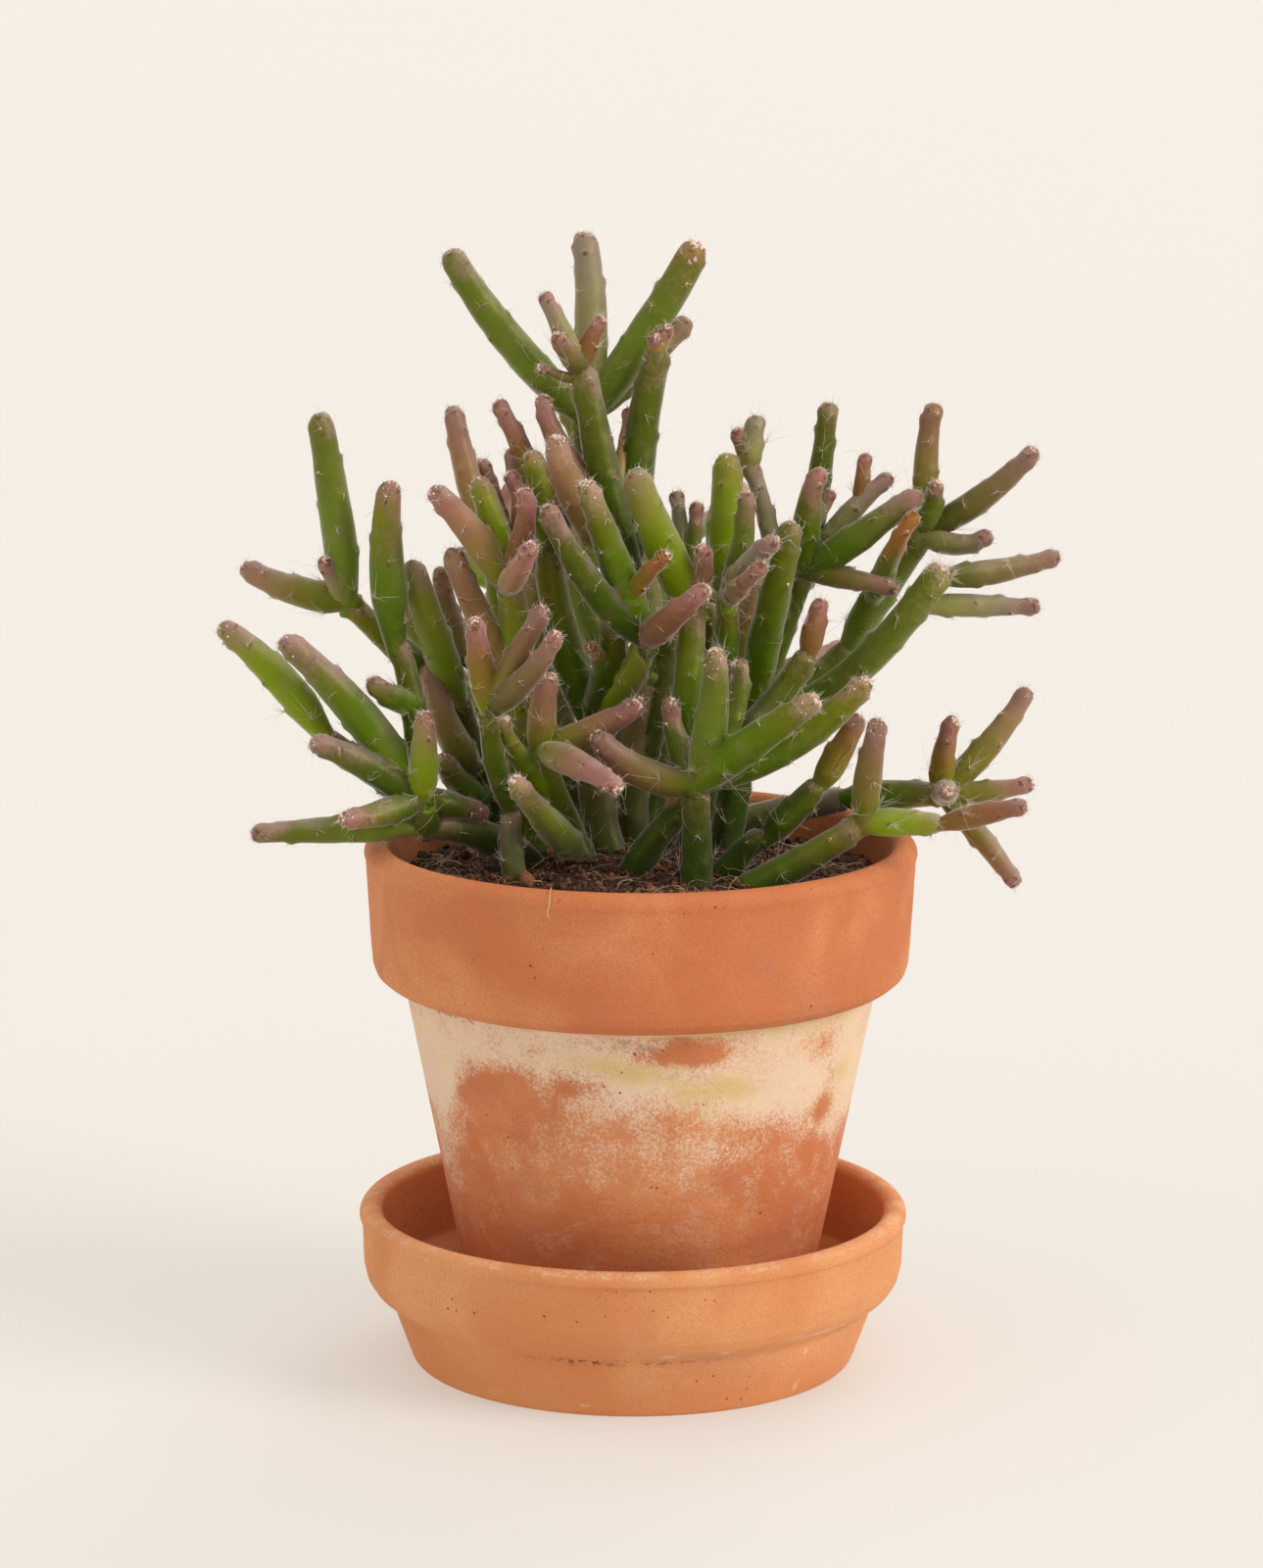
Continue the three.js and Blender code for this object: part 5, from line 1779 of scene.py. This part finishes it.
    def weathering(self, points: Array) -> dict[str, Array]:
        """Put a lime crust under the band, algae in it, darkening towards the foot and pits in the band.

        Args:
            points: The points of the surface.

        Returns:
            For each kind of weathering, a value at each point.
        """
        up = points[:, 2]
        reach = np.hypot(points[:, 0], points[:, 1])
        wall = self.base_radius + (up - self.foot - 1) * (self.body_top_radius - self.base_radius) / 82.4
        outer = eased(reach - wall, -3.5, -1.5) * eased(up + 0.4 * (reach - wall), 93.2, 92.4)
        inside = eased(wall - reach, 3.0, 4.5) * eased(up, 126, 119)
        # Darker towards the foot and in a patch at the front of the foot
        below = 0.7 * eased(up, 30, 10) + marked(points, [self.dark_front_foot])
        return {
            "damp": np.maximum(below, 0.8 * inside) * eased(up, 118, 110) + 0.55 * inside,
            "pitted": np.clip(marked(points, self.pits), 0, 1),
            "dirty": np.clip(marked(points, self.dirt), 0, 1) * outer,
            "lime": np.clip(self.lime(points), -0.6, 1.0) * outer - 0.6 * (1 - outer),
            "algae": marked(points, self.greens) * outer - 0.5 * (1 - outer) - 0.1,
        }

    def build(self) -> list[Piece]:
        """Build the pot."""
        return [self.thrown(self.outline(), True, "pot")]


@dataclass
class PottingSoil:
    """The plug of soil, with the crumbs and the coir fibres that lie on it."""

    peat: Material
    crumb: Material
    fibre: Material
    edge: float = 56.7
    foot_height: float = 12.6
    wall: tuple[Spot, ...] = ((32.2, 12.6), (34.5, 15.2), (42.5, 54), (50.9, 92.3), (56.3, 113))
    mound: tuple[Spot, ...] = ((0, 118.4), (0.35, 118.1), (0.75, 117.0), (1, 116.0))
    lumpiness: float = 1.1
    crumbliness: float = 0.75
    sides: int = 260
    ring_count: int = 62
    crumb_count: int = 2600
    crumb_rough: float = 0.16
    large_crumbs: float = 0.05
    fibre_count: int = 260
    fibre_steps: int = 12
    fibre_radius: float = 0.1
    fibre_lift: float = 0.35
    hanging: tuple[Point, ...] = (
        (57, 119.2, -1.5), (58.6, 121.6, -1.2), (60.2, 124.6, -0.7), (61.9, 125.75, -0.4),
        (63.6, 125.45, 0), (65.0, 124.3, 0.3), (65.45, 123.2, 0.4), (65.4, 122.2, 0.3),
        (65.5, 121.3, 0.0), (65.9, 120.5, 0.1), (65.8, 119.7, 0.4), (65.5, 119.2, 0.2),
    )
    hanging_turn: float = -18.6
    seed: int = 31

    def level(self, points: Array) -> Array:
        """Find how high the soil's top is.

        Args:
            points: Places; only x and y count.

        Returns:
            The height at each place.
        """
        reach = np.hypot(points[:, 0], points[:, 1]) / self.edge
        flat = points * np.array([1, 1, 0])
        coarse = self.lumpiness * unevenness(flat, 11, 2, self.seed)
        crumbly = 1.0 - 2.2 * np.abs(unevenness(flat, 3.4, 3, self.seed + 1))
        smooth = np.interp(reach, *zip(*self.mound)) + coarse
        return smooth + self.crumbliness * crumbly * eased(reach, 1.02, 0.96)

    def laid(self, ways: Array, reach: Array | float) -> Array:
        """Lay points on the soil's top.

        Args:
            ways: The level way from the middle to each.
            reach: How far from the middle they are.

        Returns:
            The points.
        """
        places = ways * reach
        places[:, 2] = self.level(places)
        return places

    def plug(self) -> Shell:
        """Shape the plug.

        Returns:
            A closed shell with a crumbly top.
        """
        rounds = level_ways(np.linspace(0, FULL_TURN, self.sides, endpoint=False))
        rings = [rounds * radius + UP * height for radius, height in self.wall]
        rings += [self.laid(rounds, radius) for radius in np.linspace(self.edge, 0.8, self.ring_count)]
        top = self.laid(np.zeros((1, 3)), 0.0)
        shell = Shell.over_rings(np.array(rings), UP * self.foot_height, top)
        shell.values = {"shade": 0.35 + 0.35 * unevenness(shell.points, 3, 3, self.seed + 2)}
        return shell

    def scattered(self, count: int, rng: Random) -> Array:
        """Pick places on the soil's top, evenly spread."""
        reach = (self.edge - 1.5) * np.sqrt(rng.uniform(0, 1, count))
        return self.laid(level_ways(rng.uniform(0, FULL_TURN, count)), reach[:, None])

    def crumbs(self, rng: Random) -> Shell:
        """Scatter crumbs of peat and bark.

        Args:
            rng: Source of their places and sizes.

        Returns:
            The crumbs.
        """
        count = self.crumb_count
        sizes = 0.35 + 0.95 * rng.beta(1.4, 4.0, count) + 0.9 * (rng.random(count) < self.large_crumbs)
        centres = self.scattered(count, rng) + 0.35 * UP * sizes[:, None]
        shell = lumps(centres, sizes, rng, self.crumb_rough)
        shell.values = {"shade": np.repeat(rng.beta(1.2, 1.8, count), len(shell.points) // count)}
        return shell

    def lying(self, rng: Random) -> Array:
        """Work out how the fibres lie on the soil, with some arched up from it.

        Args:
            rng: Source of their places and curls.

        Returns:
            The points that each fibre runs through.
        """
        each = (self.fibre_count, 1, 1)
        along = np.linspace(-1, 1, self.fibre_steps)[None, :, None]
        middle = self.scattered(self.fibre_count, rng)[:, None]
        heading = level_ways(rng.uniform(0, FULL_TURN, each[:2]))
        reach = rng.uniform(2.0, 8.0, each)
        bow = rng.normal(0, 0.45, each) * (along**2 - 0.4)
        wave = rng.normal(0, 0.12, each) * np.sin(along * rng.uniform(3, 6, each))
        lines = middle + reach * (heading * along + np.cross(UP, heading) * (bow + wave))
        out = np.hypot(lines[..., 0], lines[..., 1])
        inward = np.minimum(1, (self.edge - 0.6) / np.maximum(out, 1))
        lines[..., :2] *= inward[..., None]
        lines[..., 2] = self.level(lines.reshape(-1, 3)).reshape(out.shape) + self.fibre_lift
        arch = rng.uniform(0, 1, (self.fibre_count, 1)) ** 3 * 3.2
        lines[..., 2] += arch * (1 - along[..., 0] ** 2)
        return lines

    def fibres(self, rng: Random) -> Shell:
        """Scatter curly coir fibres, and hang one over the front of the rim.

        Args:
            rng: Source of their places and curls.

        Returns:
            The fibres.
        """
        lines = self.lying(rng)
        over_rim = []
        for out, height, sway in self.hanging:
            turn = math.radians(self.hanging_turn + sway)
            over_rim.append((out * math.sin(turn), -out * math.cos(turn), height))
        lines = np.concatenate([lines, np.array([over_rim])])
        count = len(lines)
        widths = np.full((count, self.fibre_steps - 1), self.fibre_radius) * rng.uniform(0.6, 1.5, (count, 1))
        widths[:, [0, -1]] *= 0.5
        shell = strands(lines, widths, rng)
        shades = np.append(rng.beta(1.3, 1.3, self.fibre_count), 1.0)
        shell.values = {"shade": np.repeat(shades, len(shell.points) // count)}
        return shell

    def build(self) -> list[Piece]:
        """Build the soil.

        Returns:
            The plug, its crumbs and its fibres.
        """
        rng = np.random.default_rng(self.seed)
        plug = self.plug().as_object("soil", self.peat)
        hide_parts("soil")
        crumbs = self.crumbs(rng).as_object("soil_crumbs", self.crumb)
        fibres = self.fibres(rng).as_object("soil_fibres", self.fibre)
        for piece in (plug, crumbs, fibres):
            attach(piece, "root")
        return [plug, crumbs, fibres]


@dataclass(frozen=True)
class Window:
    """Soft light from one side: the way to it, how strong it is, how wide, its colour."""

    name: str
    way: Point
    strength: float
    width: float
    colour: Rgb

    def hang(self) -> None:
        """Put the light in the scene, pointing at the middle."""
        light = bpy.data.lights.new(self.name, "SUN")
        light.angle = math.radians(self.width)
        light.energy = self.strength
        light.color = daylight(self.colour)[:3]
        window = bpy.data.objects.new(self.name, light)
        window.location = Vector(self.way)
        window.rotation_euler = (-Vector(self.way)).to_track_quat("-Z", "Y").to_euler()
        bpy.context.scene.collection.objects.link(window)


@dataclass
class Studio:
    """The cream floor, the soft light and the camera at the photo's viewing angle."""

    paper: Material
    eye: Point = (-2.2, -1239, 382)
    pitch: float = 11.14
    roll: float = 0.16
    focal_length: float = 123.7
    farthest: float = 100.0
    floor_reach: float = 40000
    sky: Rgb = (252, 249, 244)
    sky_strength: Spot = (0.42, 1.0)
    windows: tuple[Window, ...] = (
        Window("window_right", (1.0, -0.45, 0.62), 1.5, 30, (255, 247, 238)),
        Window("window_left", (-1.0, -0.5, 0.45), 0.28, 60, (255, 246, 236)),
        Window("window_behind", (0.5, 1.0, 0.9), 0.5, 30, (246, 246, 255)),
    )

    def floor(self) -> Piece:
        """Lay the floor.

        Returns:
            The floor.
        """
        corners = self.floor_reach * np.array([(-1, -1, 0), (1, -1, 0), (1, 1, 0), (-1, 1, 0)])
        floor = Shell(corners, [np.array([[0, 1, 2, 3]])]).as_object("cream_floor", self.paper)
        return floor

    def camera(self) -> None:
        """Set up the camera where the photo's was."""
        lens = bpy.data.cameras.new("camera")
        lens.lens = self.focal_length
        lens.clip_end = self.farthest
        camera = bpy.data.objects.new("camera", lens)
        down = Matrix.Rotation(math.radians(90 - self.pitch), 4, "X")
        tilt = Matrix.Rotation(math.radians(self.roll), 4, "Z")
        camera.matrix_world = Matrix.Translation(Vector(self.eye) * MM) @ down @ tilt
        bpy.context.scene.collection.objects.link(camera)
        bpy.context.scene.camera = camera

    def air(self) -> None:
        """Fill the room with light that is strongest from above."""
        world = bpy.data.worlds.new("studio_air")
        world.use_nodes = True
        nodes = world.node_tree.nodes
        links = world.node_tree.links
        way = nodes.new("ShaderNodeTexCoord")
        parts = nodes.new("ShaderNodeSeparateXYZ")
        rise = nodes.new("ShaderNodeMapRange")
        rise.inputs["To Min"].default_value = self.sky_strength[0]
        rise.inputs["To Max"].default_value = self.sky_strength[1]
        links.new(way.outputs["Generated"], parts.inputs[0])
        links.new(parts.outputs["Z"], rise.inputs["Value"])
        links.new(rise.outputs[0], nodes["Background"].inputs["Strength"])
        nodes["Background"].inputs["Color"].default_value = daylight(self.sky)
        bpy.context.scene.world = world
        bpy.context.scene.view_settings.view_transform = "Standard"

    def build(self) -> list[Piece]:
        """Build the studio.

        Returns:
            The floor.
        """
        self.camera()
        self.air()
        for window in self.windows:
            window.hang()
        return [self.floor()]


def main() -> None:
    """Build the studio and the potted plant, and report each piece."""
    logging.basicConfig(level=logging.INFO, format="%(message)s")
    clay = ClayFinish(
        "pot_clay",
        body=(216, 136, 88),
        pale=(230, 162, 112),
        burnt=(190, 104, 60),
        ashen=(190, 122, 92),
        damp=(158, 84, 50),
    )
    saucer_clay = ClayFinish(
        "saucer_clay",
        body=(224, 152, 98),
        pale=(234, 172, 118),
        burnt=(206, 126, 76),
        ashen=(212, 148, 108),
        damp=(188, 132, 104),
    )
    peat = GrainyFinish("peat", (34, 18, 10), (104, 64, 42), grain_size=1.1, roughness=0.9, relief_depth=0.5)
    crumb = GrainyFinish(
        "soil_crumb", (40, 20, 12), (150, 98, 66), grain_size=0.6, roughness=0.9, relief_depth=0.3
    )
    coir = GrainyFinish(
        "coir_fibre", (92, 62, 38), (222, 190, 146), grain_size=0.5, roughness=0.75, relief_depth=0.05
    )
    skin = SkinFinish().material()
    fuzz = FuzzFinish().material()
    makers = [
        Studio(PaperFinish().material()),
        Saucer(saucer_clay.material()),
        Pot(clay.material()),
        PottingSoil(peat.material(), crumb.material(), coir.material()),
    ]
    for number, (name, segments) in enumerate(STEMS.items()):
        makers.append(RootedStem(name, segments, 100 + number, skin, fuzz))
    for maker in makers:
        for piece in maker.build():
            piece.data.calc_loop_triangles()
            log.info("%s: %d triangles", piece.name, len(piece.data.loop_triangles))


if __name__ == "__main__":
    main()
